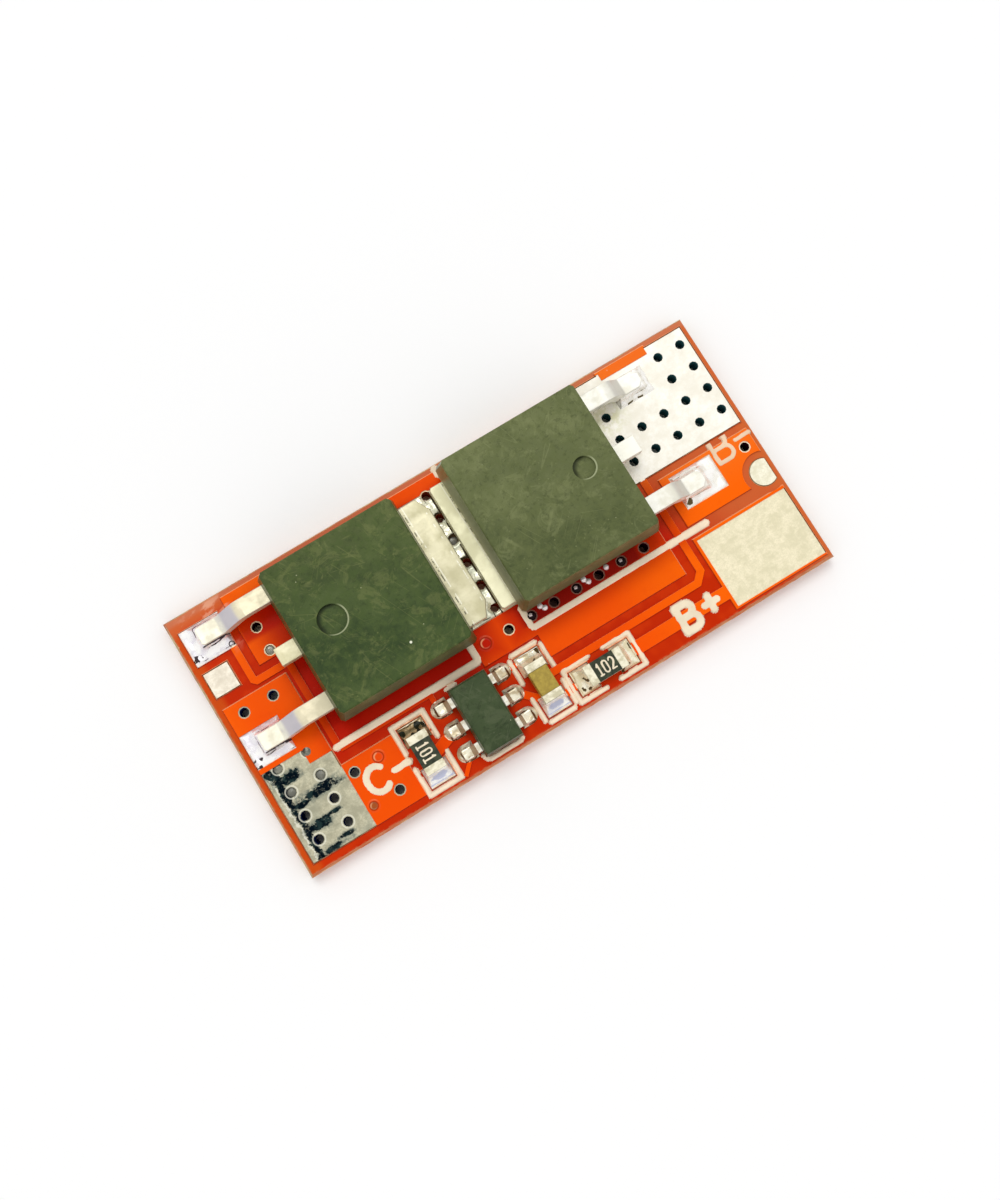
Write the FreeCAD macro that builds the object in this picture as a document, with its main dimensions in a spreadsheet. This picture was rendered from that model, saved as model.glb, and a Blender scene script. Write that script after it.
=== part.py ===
import FreeCAD, Part
import math
import os
import re
import Sketcher

# A one-cell battery protection board: two switching transistors in power packages, back to
# back on a common drain pour, a six-lead controller chip, two resistors and a capacitor.
# Millimetres. X runs along the board, Y across it, Z up from the underside, with the origin
# under the board's centre.

doc = FreeCAD.newDocument("battery_protection_board")

SIZES = {
    # bare board: its faces, and the web left standing out where the panel was snapped
    "board_length": 22.9,
    "board_width": 10.8,
    "laminate_thick": 0.8,
    "copper_thick": 0.07,
    "mask_thick": 0.03,
    "mask_slope": 0.05,
    "web_reach": 0.1,
    "score_depth": 0.28,
    # how the openings in the mask fit the copper under them
    "pad_moat": 0.04,
    "pad_lap": 0.08,
    # how far the copper keeps back from each edge
    "rim_left": 0.26,
    "rim_right": 0.2,
    "rim_back": 0.24,
    "rim_front": 0.33,
    "rim_front_plus": 0.15,
    # plated holes
    "hole_bore": 0.38,
    "plating": 0.03,
    "ring_wide": 0.045,
    "hole_pitch": 1.0,
    "hole_sides": 10,
    "land_sides": 12,
    # the row of holes between the two tabs, from which the packages are laid out
    "drain_holes_x": -0.6,
    "drain_holes_y": -0.47,
    "tab_gap": 0.34,
    "row_x": 0.42,
    "row_y": -1.45,
    # power packages
    "fet_y": 1.94,
    "left_body_long": 5.81,
    "right_body_long": 6.04,
    "left_body_wide": 6.24,
    "left_body_y": 1.82,
    "right_body_wide": 6.4,
    "right_body_y": 1.9,
    "fet_tall": 2.3,
    "parting": 1.0,
    "draft_top": 0.16,
    "draft_foot": 0.08,
    "standoff": 0.06,
    "corner_bevel": 0.12,
    "edge_bevel": 0.05,
    "dimple_deep": 0.1,
    "left_dimple_bore": 1.12,
    "left_dimple_x": 1.29,
    "left_dimple_y": -0.15,
    "right_dimple_bore": 0.86,
    "right_dimple_x": 1.56,
    "right_dimple_y": 0.1,
    "left_tab_wide": 5.22,
    "right_tab_wide": 5.36,
    "tab_thick": 0.5,
    "tab_waist": 4.9,
    "tab_waist_in": 0.2,
    "left_tab_cut_long": 0.32,
    "left_tab_cut_wide": 0.6,
    "right_tab_cut_long": 0.08,
    "right_tab_cut_wide": 0.1,
    "tab_round": 0.05,
    "left_tab_long": 1.07,
    "right_tab_long": 0.54,
    "paddle_in": 1.25,
    "lead_wide": 0.71,
    "lead_thick": 0.5,
    "lead_pitch": 2.285,
    "lead_rise": 0.75,
    "lead_flat": 1.25,
    "left_run": 0.84,
    "right_run": 0.51,
    "lead_hold": 0.6,
    "lead_bend": 0.12,
    "left_foot": 0.86,
    "right_foot": 0.85,
    "left_toe": 0.08,
    "right_toe": 0.2,
    "left_stub": 0.79,
    "right_stub": 0.97,
    # pads under the packages' leads and tabs
    "lead_pad_y": 1.85,
    "lead_pad_pitch": 2.24,
    "lead_pad_wide": 1.42,
    "left_pad_heel": 0.15,
    "right_pad_heel": 0.26,
    "right_pad_toe": 0.76,
    "land_in": 1.13,
    "land_side": 0.05,
    # B- terminal, and the track that returns from it to the chip
    "b_minus_gap": 0.07,
    "b_minus_front": 0.79,
    "b_minus_holes_x": 6.9,
    "b_minus_holes_y": 1.57,
    "b_notch_in": 1.31,
    "b_notch_long": 2.08,
    "b_notch_deep": 0.25,
    "b_notch_rise": 0.09,
    "return_x": 6.79,
    "return_y": -3.67,
    "return_wide": 0.19,
    "return_cut": 0.35,
    # B+ terminal
    "b_plus_left": 7.21,
    "b_plus_back": -2.2,
    "feed_y": -4.54,
    "feed_wide": 0.43,
    # C- terminal
    "c_minus_right": -8.57,
    "c_minus_back": -1.3,
    "c_block_back": 1.46,
    "c_wing_right": -6.42,
    "c_wing_back": -2.56,
    "c_notch_long": 0.9,
    "c_notch_deep": 0.57,
    "c_holes_x": -10.58,
    "c_holes_y": -4.42,
    "c_holes_wide": 1.23,
    "block_hole_in": 0.44,
    "wing_hole_in": 0.34,
    "wing_hole_out": 0.71,
    # drain pour
    "drain_left": -7.6,
    "drain_right": 5.9,
    "drain_front": -0.85,
    "drain_ear_left": -9.17,
    "drain_ear_front": 2.28,
    "ear_hole_in": 0.58,
    "ear_hole_rise": 0.26,
    "drain_neck_left": -2.05,
    "drain_neck_front": -2.15,
    "drain_wing_left": 0.27,
    "drain_wing_right": 6.22,
    "drain_wing_front": -3.11,
    # gate tracks
    "gate_run_x": -9.68,
    "gate_run_wide": 0.17,
    "gate_step_y": 1.8,
    "gate_drop_x": -8.24,
    "gate_cross_y": -2.0,
    "gate_chip_x": -4.38,
    "gate_cut": 0.1,
    "track_wide": 0.1,
    "thin_track": 0.05,
    "sense_wide": 0.32,
    "sense_drop": 0.3,
    "gate_pour_left": 7.33,
    "gate_pour_front": -1.62,
    "gate_pour_back": 0.42,
    "gate_hole_x": 10.85,
    "gate_hole_y": -0.15,
    # test pads
    "square_pad": 1.0,
    "square_pad_y": 2.5,
    "round_pad": 1.06,
    "round_pad_x": 10.95,
    "round_pad_y": -1.35,
    "round_moat": 0.33,
    # controller chip
    "chip_x": -3.0,
    "chip_y": -3.68,
    "chip_long": 2.85,
    "chip_wide": 1.62,
    "chip_tall": 1.1,
    "chip_lift": 0.1,
    "chip_parting": 0.55,
    "chip_draft": 0.07,
    "chip_bevel": 0.05,
    "chip_pitch": 0.95,
    "chip_lead_wide": 0.4,
    "chip_lead_thick": 0.14,
    "chip_lead_flat": 0.16,
    "chip_lead_run": 0.18,
    "chip_lead_foot": 0.32,
    "chip_lead_rise": 0.42,
    "chip_lead_hold": 0.25,
    "chip_pad_long": 0.66,
    "chip_pad_wide": 0.62,
    "chip_pad_toe": 0.2,
    "chip_pad_shift": 0.06,
    # resistors and capacitor
    "passive_long": 1.6,
    "passive_wide": 0.82,
    "passive_lift": 0.04,
    "resistor_tall": 0.45,
    "capacitor_tall": 0.8,
    "end_wrap": 0.32,
    "end_skin": 0.03,
    "passive_pad_wide": 0.98,
    "passive_pad_in": 0.3,
    "passive_pad_out": 0.46,
    "resistor_a_x": -5.6,
    "resistor_a_y": -3.77,
    "resistor_b_x": 1.73,
    "resistor_b_y": -4.53,
    "capacitor_x": -0.53,
    "capacitor_y": -3.79,
    # solder
    "fillet_side": 0.26,
    "fillet_toe": 0.34,
    "fillet_heel": 0.1,
    "fillet_tall": 0.32,
    "pool_tall": 0.12,
    "chip_fillet_toe": 0.05,
    "chip_fillet_side": 0.05,
    "chip_fillet_tall": 0.1,
    "passive_fillet_toe": 0.4,
    "passive_fillet_side": 0.06,
    "passive_fillet_tall": 0.24,
    "plug_deep": 0.3,
    "plug_sunk": 0.05,
    "plug_proud": 0.1,
    # printed lines
    "ink_thick": 0.02,
    "ink_wide": 0.26,
    "ink_fine": 0.15,
    "ink_y": -1.87,
    "ink_back": -1.0,
    "ink_left": -8.32,
    "ink_corner_left": -2.16,
    "ink_corner_right": 0.21,
    "ink_right": 7.97,
    "ink_tick": 0.45,
    "bracket_side": 0.27,
    "bracket_end": 0.64,
    "bracket_break": 0.65,
    "bracket_nick": 0.16,
    "chip_ink_y": 1.52,
    "chip_ink_long": 1.5,
}

sheet = doc.addObject("Spreadsheet::Sheet", "Sizes")
for row, (alias, size) in enumerate(SIZES.items(), start=1):
    sheet.set(f"A{row}", alias)
    sheet.set(f"B{row}", str(size))
    sheet.setAlias(f"B{row}", alias)
doc.recompute()

ALIAS = re.compile(r"\b(" + "|".join(SIZES) + r")\b")


def bound(text):
    """The expression with each size in it read from the sheet."""
    return ALIAS.sub(r"Sizes.\1", str(text))


def value_of(text):
    return float(sheet.evalExpression(bound(text)))


def bind(thing, **limits):
    """Bind properties to expressions; two underscores in a name stand for a dot."""
    for name, text in limits.items():
        thing.setExpression(name.replace("__", "."), bound(text))


# Heights of the board's layers above its underside
LAMINATE_FOOT = "(mask_thick + copper_thick)"
LAMINATE_TOP = "(mask_thick + copper_thick + laminate_thick)"
COPPER_TOP = "(mask_thick + 2 * copper_thick + laminate_thick)"
MASK_TOP = "(2 * mask_thick + 2 * copper_thick + laminate_thick)"
INK_TOP = "(2 * mask_thick + 2 * copper_thick + laminate_thick + ink_thick)"

# The board's edges
LEFT = "(-board_length / 2)"
RIGHT = "(board_length / 2)"
FRONT = "(-board_width / 2)"
BACK = "(board_width / 2)"

# The packages' centres, where their leads' feet begin, and the rows of their leads and pads
LEFT_FET_X = "(drain_holes_x - tab_gap / 2 - left_tab_long - left_body_long / 2)"
RIGHT_FET_X = "(drain_holes_x + tab_gap / 2 + right_tab_long + right_body_long / 2)"
LEFT_HEEL = f"({LEFT_FET_X} - left_body_long / 2 - lead_flat - left_run)"
RIGHT_HEEL = f"({RIGHT_FET_X} + right_body_long / 2 + lead_flat + right_run)"
UPPER_ROW = "(fet_y + lead_pitch)"
LOWER_ROW = "(fet_y - lead_pitch)"
UPPER_PAD = "(lead_pad_y + lead_pad_pitch)"
LOWER_PAD = "(lead_pad_y - lead_pad_pitch)"


# Plain solids whose limits are expressions

def box(name, x0, x1, y0, y1, z0, z1):
    block = doc.addObject("Part::Box", name)
    bind(block, Length=f"({x1}) - ({x0})", Width=f"({y1}) - ({y0})", Height=f"({z1}) - ({z0})",
         Placement__Base__x=x0, Placement__Base__y=y0, Placement__Base__z=z0)
    return block


def post(name, x, y, radius, z0, z1):
    cylinder = doc.addObject("Part::Cylinder", name)
    bind(cylinder, Radius=radius, Height=f"({z1}) - ({z0})",
         Placement__Base__x=x, Placement__Base__y=y, Placement__Base__z=z0)
    return cylinder


def drill(name, x, y, radius, z0, z1, sides="hole_sides"):
    """A small hole's bore, with few sides because it repeats so often."""
    prism = doc.addObject("Part::Prism", name)
    bind(prism, Polygon=sides, Circumradius=radius, Height=f"({z1}) - ({z0})",
         Placement__Base__x=x, Placement__Base__y=y, Placement__Base__z=z0)
    return prism


def frustum(name, foot, crown, z0, z1):
    """A block with sloping sides: foot and crown are its limits (x0, x1, y0, y1) at z0 and z1."""
    wedge = doc.addObject("Part::Wedge", name)
    wedge.Placement.Rotation = FreeCAD.Rotation(FreeCAD.Vector(1, 0, 0), 90)
    bind(wedge, Xmin=foot[0], Xmax=foot[1], Zmin=f"-({foot[3]})", Zmax=f"-({foot[2]})",
         X2min=crown[0], X2max=crown[1], Z2min=f"-({crown[3]})", Z2max=f"-({crown[2]})",
         Ymin=z0, Ymax=z1)
    return wedge


def joined(name, pieces):
    if len(pieces) == 1:
        return pieces[0]
    fused = doc.addObject("Part::MultiFuse", name)
    fused.Shapes = pieces
    fused.Refine = True
    return fused


def cut(name, base, tools):
    result = doc.addObject("Part::Cut", name)
    result.Base = base
    result.Tool = joined(name + "_tools", tools)
    return result


def group(name, pieces):
    bundle = doc.addObject("Part::Compound", name)
    bundle.Links = pieces
    return bundle


# Sketched bodies

def new_body(name, x="0", y="0", z="0", turn=0):
    body = doc.addObject("PartDesign::Body", name)
    body.Placement.Rotation = FreeCAD.Rotation(FreeCAD.Vector(0, 0, 1), turn)
    bind(body, Placement__Base__x=x, Placement__Base__y=y, Placement__Base__z=z)
    return body


def new_sketch(body, name, plane, offset="0"):
    """A sketch on one of the body's own origin planes, moved along the plane's normal."""
    sketch = body.newObject("Sketcher::SketchObject", name)
    support = [part for part in body.Origin.OriginFeatures if part.Role == plane][0]
    sketch.AttachmentSupport = [(support, "")]
    sketch.MapMode = "FlatFace"
    bind(sketch, AttachmentOffset__Base__z=offset)
    return sketch


def hold(sketch, geometry, point, place):
    """Hold a sketch point at a place given by a pair of expressions."""
    for kind, text in zip(("DistanceX", "DistanceY"), place):
        constraint = Sketcher.Constraint(kind, -1, 1, geometry, point, value_of(text))
        index = sketch.addConstraint(constraint)
        sketch.setExpression(f"Constraints[{index}]", bound(text))


def outline(sketch, points):
    """A closed outline of straight lines through points given as pairs of expressions."""
    places = [FreeCAD.Vector(value_of(x), value_of(y)) for x, y in points]
    for start, end in zip(places, places[1:] + places[:1]):
        sketch.addGeometry(Part.LineSegment(start, end))
    for line in range(len(points)):
        following = (line + 1) % len(points)
        sketch.addConstraint(Sketcher.Constraint("Coincident", line, 2, following, 1))
    for line, point in enumerate(points):
        hold(sketch, line, 1, point)


def rectangle(sketch, long, wide):
    outline(sketch, [(f"-({long}) / 2", f"-({wide}) / 2"), (f"({long}) / 2", f"-({wide}) / 2"),
                     (f"({long}) / 2", f"({wide}) / 2"), (f"-({long}) / 2", f"({wide}) / 2")])


def circle(sketch, x, y, bore):
    centre = FreeCAD.Vector(value_of(x), value_of(y))
    sketch.addGeometry(Part.Circle(centre, FreeCAD.Vector(0, 0, 1), value_of(bore) / 2))
    hold(sketch, 0, 3, (x, y))
    index = sketch.addConstraint(Sketcher.Constraint("Diameter", 0, value_of(bore)))
    sketch.setExpression(f"Constraints[{index}]", bound(bore))


def pad(body, sketch, name, length, draft="0", side="One side", reverse=False):
    feature = body.newObject("PartDesign::Pad", name)
    feature.Profile = sketch
    feature.SideType = side
    feature.Reversed = reverse
    bind(feature, Length=length, TaperAngle=draft)
    return feature


def pocket(body, sketch, name, length):
    feature = body.newObject("PartDesign::Pocket", name)
    feature.Profile = sketch
    bind(feature, Length=length)
    return feature


def near(a, b):
    return abs(a - b) < 1e-4


def level(height):
    """A test for edges that lie at one height."""
    top = value_of(height)
    return lambda a, b: near(a.z, top) and near(b.z, top)


def edges_of(feature, test):
    """Names of the feature's edges whose two ends pass a test."""
    doc.recompute()
    names = []
    for number, edge in enumerate(feature.Shape.Edges, start=1):
        ends = [vertex.Point for vertex in edge.Vertexes]
        if len(ends) == 2 and test(*ends):
            names.append(f"Edge{number}")
    return names


def rounded(body, feature, name, test, radius):
    names = edges_of(feature, test)
    fillet = body.newObject("PartDesign::Fillet", name)
    fillet.Base = (feature, names)
    bind(fillet, Radius=radius)
    return fillet


def bevelled(body, feature, name, test, size):
    names = edges_of(feature, test)
    chamfer = body.newObject("PartDesign::Chamfer", name)
    chamfer.Base = (feature, names)
    bind(chamfer, Size=size)
    return chamfer


# Copper. Each net is laid out as flat rectangles and straight tracks, and the mask is raised
# over every one of them.

MASK_OVER = []
MASK_UNDER = []
DRILLED = []


def grown(limits, margin):
    x0, x1, y0, y1 = limits
    return (f"{x0} - ({margin})", f"{x1} + ({margin})", f"{y0} - ({margin})", f"{y1} + ({margin})")


def patch(name, limits):
    """A rectangle of top copper with the mask's cover over it."""
    foot = grown(limits, "mask_thick + mask_slope")
    crown = grown(limits, "mask_thick")
    MASK_OVER.append(frustum(name + "_cover", foot, crown, LAMINATE_TOP, MASK_TOP))
    return box(name, *limits, LAMINATE_TOP, COPPER_TOP)


def under_patch(name, limits):
    """A rectangle of underside copper with the mask's cover over it."""
    foot = grown(limits, "mask_thick")
    crown = grown(limits, "mask_thick + mask_slope")
    MASK_UNDER.append(frustum(name + "_cover", foot, crown, "0", LAMINATE_FOOT))
    return box(name, *limits, "mask_thick", LAMINATE_FOOT)


def strip(name, start, end, wide, reaches, z0, z1):
    """A straight bar of one width from start to end, run on past each by its reach."""
    (x0, y0), (x1, y1) = start, end
    long = f"sqrt((({x1}) - ({x0}))^2 + (({y1}) - ({y0}))^2)"
    along = (f"((({x1}) - ({x0})) / {long})", f"((({y1}) - ({y0})) / {long})")
    bar = doc.addObject("Part::Box", name)
    bar.Placement.Rotation = FreeCAD.Rotation(FreeCAD.Vector(0, 0, 1), 0)
    bind(bar, Length=f"{long} + ({reaches[0]}) + ({reaches[1]})", Width=wide,
         Height=f"({z1}) - ({z0})",
         Placement__Base__x=f"({x0}) - {along[0]} * ({reaches[0]}) + {along[1]} * ({wide}) / 2",
         Placement__Base__y=f"({y0}) - {along[1]} * ({reaches[0]}) - {along[0]} * ({wide}) / 2",
         Placement__Base__z=z0,
         Placement__Rotation__Angle=f"atan2(({y1}) - ({y0}); ({x1}) - ({x0}))")
    return bar


def route(name, points, wide):
    """A track of one width through points, mitred at its corners."""
    places = [FreeCAD.Vector(value_of(x), value_of(y)) for x, y in points]
    turns = [0.0]
    for before, corner, after in zip(places, places[1:], places[2:]):
        turns.append((corner - before).getAngle(after - corner))
    turns.append(0.0)
    mitres = [math.tan(turn / 2) / 2 for turn in turns]
    pieces = []
    for number in range(len(points) - 1):
        ends = mitres[number], mitres[number + 1]
        span = (f"{name}_{number}", points[number], points[number + 1])
        reaches = [f"{mitre:.4f} * ({wide})" for mitre in ends]
        pieces.append(strip(*span, wide, reaches, LAMINATE_TOP, COPPER_TOP))
        cover = f"(({wide}) + 2 * mask_thick + mask_slope)"
        reaches = [f"{mitre:.4f} * {cover}" for mitre in ends]
        label = span[0] + "_cover"
        MASK_OVER.append(strip(label, *span[1:], cover, reaches, LAMINATE_TOP, MASK_TOP))
    return pieces


def patches(name, *places):
    return [patch(f"{name}_patch_{number}", limits) for number, limits in enumerate(places)]


def plated(name, pieces, under=(), holes=(), keep_out=()):
    """One plated piece: its top and underside copper with the walls of its holes."""
    pieces = list(pieces)
    pieces += [under_patch(f"{name}_under_{n}", limits) for n, limits in enumerate(under)]
    bores = []
    for number, (x, y) in enumerate(holes):
        wall = "hole_bore / 2 + plating"
        pieces.append(drill(f"{name}_wall_{number}", x, y, wall, LAMINATE_FOOT, COPPER_TOP))
        bores.append(drill(f"{name}_bore_{number}", x, y, "hole_bore / 2", LAMINATE_FOOT, COPPER_TOP))
        DRILLED.append(drill(f"{name}_drill_{number}", x, y, wall, LAMINATE_FOOT, LAMINATE_TOP))
    tools = bores + list(keep_out)
    if not tools:
        return joined(name, pieces)
    return cut(name, joined(name + "_whole", pieces), tools)


def hole_grid(x, y, cells, x_pitch="hole_pitch"):
    return [(f"{x} + ({column}) * {x_pitch}", f"{y} + ({row}) * hole_pitch") for column, row in cells]


B_MINUS = (f"{RIGHT_FET_X} + right_body_long / 2 + b_minus_gap", f"{RIGHT} - rim_right",
           "b_minus_front", f"{BACK} - rim_back")
B_PLUS = ("b_plus_left", f"{RIGHT} - rim_right", f"{FRONT} + rim_front_plus", "b_plus_back")
C_MINUS = (f"{LEFT} + rim_left", "c_minus_right", f"{FRONT} + rim_front", "c_block_back")
C_WING = (f"{LEFT} + rim_left", "c_wing_right", f"{FRONT} + rim_front", "c_wing_back")
DRAIN = ("drain_left", "drain_right", "drain_front", f"{BACK} - rim_back")
DRAIN_EAR = ("drain_ear_left", "drain_left", "drain_ear_front", f"{BACK} - rim_back")
DRAIN_NECK = ("drain_neck_left", "drain_wing_right", "drain_neck_front", "drain_front")
DRAIN_WING = ("drain_wing_left", "drain_wing_right", "drain_wing_front", "drain_neck_front")
GATE_POUR = ("gate_pour_left", f"{RIGHT} - rim_right", "gate_pour_front", "gate_pour_back")

LEFT_GATE_PAD = (f"{LEFT} + rim_left", f"{LEFT_HEEL} + left_pad_heel",
                 f"{UPPER_PAD} - lead_pad_wide / 2", f"{UPPER_PAD} + lead_pad_wide / 2")
LEFT_SOURCE_PAD = (f"{LEFT} + rim_left", f"{LEFT_HEEL} + left_pad_heel",
                   f"{LOWER_PAD} - lead_pad_wide / 2", f"{LOWER_PAD} + lead_pad_wide / 2")
RIGHT_GATE_PAD = (f"{RIGHT_HEEL} - right_pad_heel", f"{RIGHT_HEEL} + right_foot + right_pad_toe",
                  f"{LOWER_PAD} - lead_pad_wide / 2", f"{LOWER_PAD} + lead_pad_wide / 2")
SQUARE_PAD = (f"{LEFT} + rim_left", f"{LEFT} + rim_left + square_pad",
              "square_pad_y - square_pad / 2", "square_pad_y + square_pad / 2")
DRAIN_LAND = (f"{LEFT_FET_X} - left_body_long / 2 + land_in",
              f"{RIGHT_FET_X} + right_body_long / 2 - land_in",
              "fet_y - right_tab_wide / 2 - land_side", "fet_y + right_tab_wide / 2 + land_side")

B_CELLS = [(column, row) for row in (0, 1) for column in range(5)]
B_CELLS += [(0, 2), (3, 2), (4, 2), (3, 3), (4, 3)]
B_HOLES = hole_grid("b_minus_holes_x", "b_minus_holes_y", B_CELLS)
C_CELLS = [(column, row) for row in range(4) for column in (0, 1)]
C_HOLES = hole_grid("c_holes_x", "c_holes_y", C_CELLS, "c_holes_wide")
C_BLOCK_HOLES = [("c_holes_x", "c_block_back - block_hole_in"),
                 ("c_holes_x + c_holes_wide", "c_block_back - block_hole_in")]
C_WING_HOLES = [("c_minus_right + wing_hole_in", "c_wing_back - block_hole_in"),
                ("c_wing_right - wing_hole_out", "c_holes_y")]
DRAIN_HOLES = hole_grid("drain_holes_x", "drain_holes_y", [(0, row) for row in range(6)])
ROW_HOLES = hole_grid("row_x", "row_y", [(column, 0) for column in range(-1, 6)])
EAR_HOLES = hole_grid("drain_ear_left + ear_hole_in", "drain_ear_front + ear_hole_rise",
                      [(0, 0), (0, 1)])
GATE_HOLE = [("gate_hole_x", "gate_hole_y")]

CHIP_TOE = "(chip_wide / 2 + chip_lead_flat + chip_lead_run + chip_lead_foot)"
PAD_REACH = "((passive_long + passive_pad_out - passive_pad_in) / 2)"
PAD_HALF = "((passive_pad_out + passive_pad_in) / 2)"


def chip_land(name, side, row, margin="0", top=COPPER_TOP):
    """A chip pad with a rounded outer end: side is -1 or 1 in X, row is -1 to 1 in Y."""
    half = f"(chip_pad_wide / 2 + {margin})"
    toe = f"chip_x + {side} * ({CHIP_TOE} + chip_pad_toe)"
    turn = f"{toe} - {side} * chip_pad_wide / 2"
    ends = [f"{toe} - {side} * (chip_pad_long + {margin})", turn]
    if side < 0:
        ends.reverse()
    y = f"chip_y + chip_pad_shift + {row} * chip_pitch"
    return [box(name, *ends, f"{y} - {half}", f"{y} + {half}", LAMINATE_TOP, top),
            drill(name + "_end", turn, y, half, LAMINATE_TOP, top, "land_sides")]


def end_limits(part, along, end, middle, half_long, half_wide):
    """Limits about a place along a resistor or the capacitor: end is -1 or 1."""
    x, y = f"{part}_x", f"{part}_y"
    if along == "x":
        x = f"{x} + {end} * {middle}"
        return (f"{x} - {half_long}", f"{x} + {half_long}", f"{y} - {half_wide}", f"{y} + {half_wide}")
    y = f"{y} + {end} * {middle}"
    return (f"{x} - {half_wide}", f"{x} + {half_wide}", f"{y} - {half_long}", f"{y} + {half_long}")


def passive_pad(part, along, end):
    return end_limits(part, along, end, PAD_REACH, PAD_HALF, "passive_pad_wide / 2")


b_minus_rise = (f"{RIGHT_FET_X} + right_body_long / 2 + b_minus_gap + b_notch_in - pad_lap",
                f"{RIGHT_FET_X} + right_body_long / 2 + b_minus_gap + b_notch_in + b_notch_long",
                f"{BACK} - rim_back", f"{BACK} - rim_back + b_notch_rise")
copper_b_minus = plated(
    "copper_b_minus",
    patches("b_minus", B_MINUS, b_minus_rise, passive_pad("capacitor", "y", 1))
    + chip_land("ground_land", 1, 1)
    + route("return", [("return_x", "b_minus_front"), ("return_x", "return_y + return_cut"),
                       ("return_x - return_cut", "return_y"), ("capacitor_x", "return_y"),
                       ("capacitor_x", f"capacitor_y + {PAD_REACH}")], "return_wide")
    + route("chip_ground", [("capacitor_x", "chip_y + chip_pitch"),
                            (f"chip_x + {CHIP_TOE}", "chip_y + chip_pitch")], "track_wide"),
    under=[B_MINUS], holes=B_HOLES)

copper_b_plus = plated(
    "copper_b_plus",
    patches("b_plus", B_PLUS, passive_pad("resistor_b", "x", 1))
    + route("feed", [(f"resistor_b_x + {PAD_REACH}", "feed_y"), ("b_plus_left", "feed_y")],
            "feed_wide"))

copper_c_minus = plated(
    "copper_c_minus", patches("c_minus", C_MINUS, C_WING), under=[C_MINUS, C_WING],
    holes=C_HOLES + C_BLOCK_HOLES + C_WING_HOLES)

copper_drain = plated(
    "copper_drain", patches("drain", DRAIN, DRAIN_EAR, DRAIN_NECK, DRAIN_WING),
    under=[("drain_ear_left", "drain_right", "drain_ear_front", f"{BACK} - rim_back"),
           ("drain_neck_left", "drain_right", "drain_neck_front", "drain_ear_front")],
    holes=DRAIN_HOLES + ROW_HOLES + EAR_HOLES)

round_clearance = post("round_clearance", "round_pad_x", "round_pad_y",
                       "round_pad / 2 + round_moat", LAMINATE_TOP, COPPER_TOP)
copper_right_gate = plated(
    "copper_right_gate", patches("right_gate", GATE_POUR),
    under=[("gate_hole_x - hole_bore", "gate_hole_x + hole_bore",
            "gate_hole_y - hole_bore", "gate_hole_y + hole_bore")],
    holes=GATE_HOLE, keep_out=[round_clearance])

copper_left_gate = plated(
    "copper_left_gate",
    patches("left_gate", LEFT_GATE_PAD) + chip_land("gate_land", -1, 1)
    + route("left_gate", [("gate_run_x", UPPER_PAD), ("gate_run_x", "gate_step_y + gate_cut"),
                          ("gate_run_x + gate_cut", "gate_step_y"), ("gate_drop_x", "gate_step_y"),
                          ("gate_drop_x", "gate_cross_y")], "gate_run_wide")
    + route("chip_gate", [("gate_drop_x", "gate_cross_y"), ("gate_chip_x", "gate_cross_y"),
                          ("gate_chip_x", "chip_y + chip_pitch")], "track_wide"))

copper_supply = plated(
    "copper_supply",
    patches("supply", passive_pad("capacitor", "y", -1), passive_pad("resistor_b", "x", -1))
    + chip_land("supply_land", 1, 0)
    + route("chip_supply", [(f"chip_x + {CHIP_TOE}", "chip_y"),
                            ("capacitor_x", f"capacitor_y - {PAD_REACH}")], "return_wide")
    + route("supply", [("capacitor_x", f"capacitor_y - {PAD_REACH}"),
                       (f"resistor_b_x - {PAD_REACH}", "resistor_b_y")], "return_wide"))

copper_sense = plated(
    "copper_sense",
    patches("sense", passive_pad("resistor_a", "y", -1)) + chip_land("sense_land", -1, 0)
    + route("sense", [(f"chip_x - {CHIP_TOE}", "chip_y"), ("resistor_a_x", "resistor_a_y - sense_drop"),
                      ("resistor_a_x", f"resistor_a_y - {PAD_REACH}")], "sense_wide"))

copper_sense_return = patch("copper_sense_return", passive_pad("resistor_a", "y", 1))

copper_chip_pads = group("copper_chip_pads", [
    joined("test_chip_pad", chip_land("test_land", 1, -1)),
    plated("discharge_chip_pad", chip_land("discharge_land", -1, -1)
           + route("discharge", [(f"chip_x - {CHIP_TOE} + chip_lead_foot", "chip_y - chip_pitch"),
                                 (f"chip_x - {CHIP_TOE} - chip_pad_long / 2",
                                  "chip_y - chip_pitch - chip_pad_long")], "thin_track"))])

copper_square_pad = patch("copper_square_pad", SQUARE_PAD)

round_trim = box("round_trim", f"{RIGHT} - rim_right", f"{RIGHT} + round_pad",
                 "round_pad_y - round_pad", "round_pad_y + round_pad", LAMINATE_TOP, COPPER_TOP)
copper_round_pad = cut(
    "copper_round_pad",
    post("round_disc", "round_pad_x", "round_pad_y", "round_pad / 2", LAMINATE_TOP, COPPER_TOP),
    [round_trim])

COPPERS = [copper_b_minus, copper_b_plus, copper_c_minus, copper_drain, copper_right_gate,
           copper_left_gate, copper_supply, copper_sense, copper_sense_return, copper_chip_pads,
           copper_square_pad, copper_round_pad]


# The laminate, scored on both faces and snapped, with its holes drilled
FACE = (LEFT, RIGHT, FRONT, BACK)
WEB = grown(FACE, "web_reach")
blank = joined("laminate_blank", [
    frustum("lower_score", FACE, WEB, LAMINATE_FOOT, f"{LAMINATE_FOOT} + score_depth"),
    box("snapped_web", *WEB, f"{LAMINATE_FOOT} + score_depth", f"{LAMINATE_TOP} - score_depth"),
    frustum("upper_score", WEB, FACE, f"{LAMINATE_TOP} - score_depth", LAMINATE_TOP)])
laminate = cut("laminate", blank, DRILLED)


# Solder standing in some of the holes: three of the front row's are domed, the rest sunk

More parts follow.
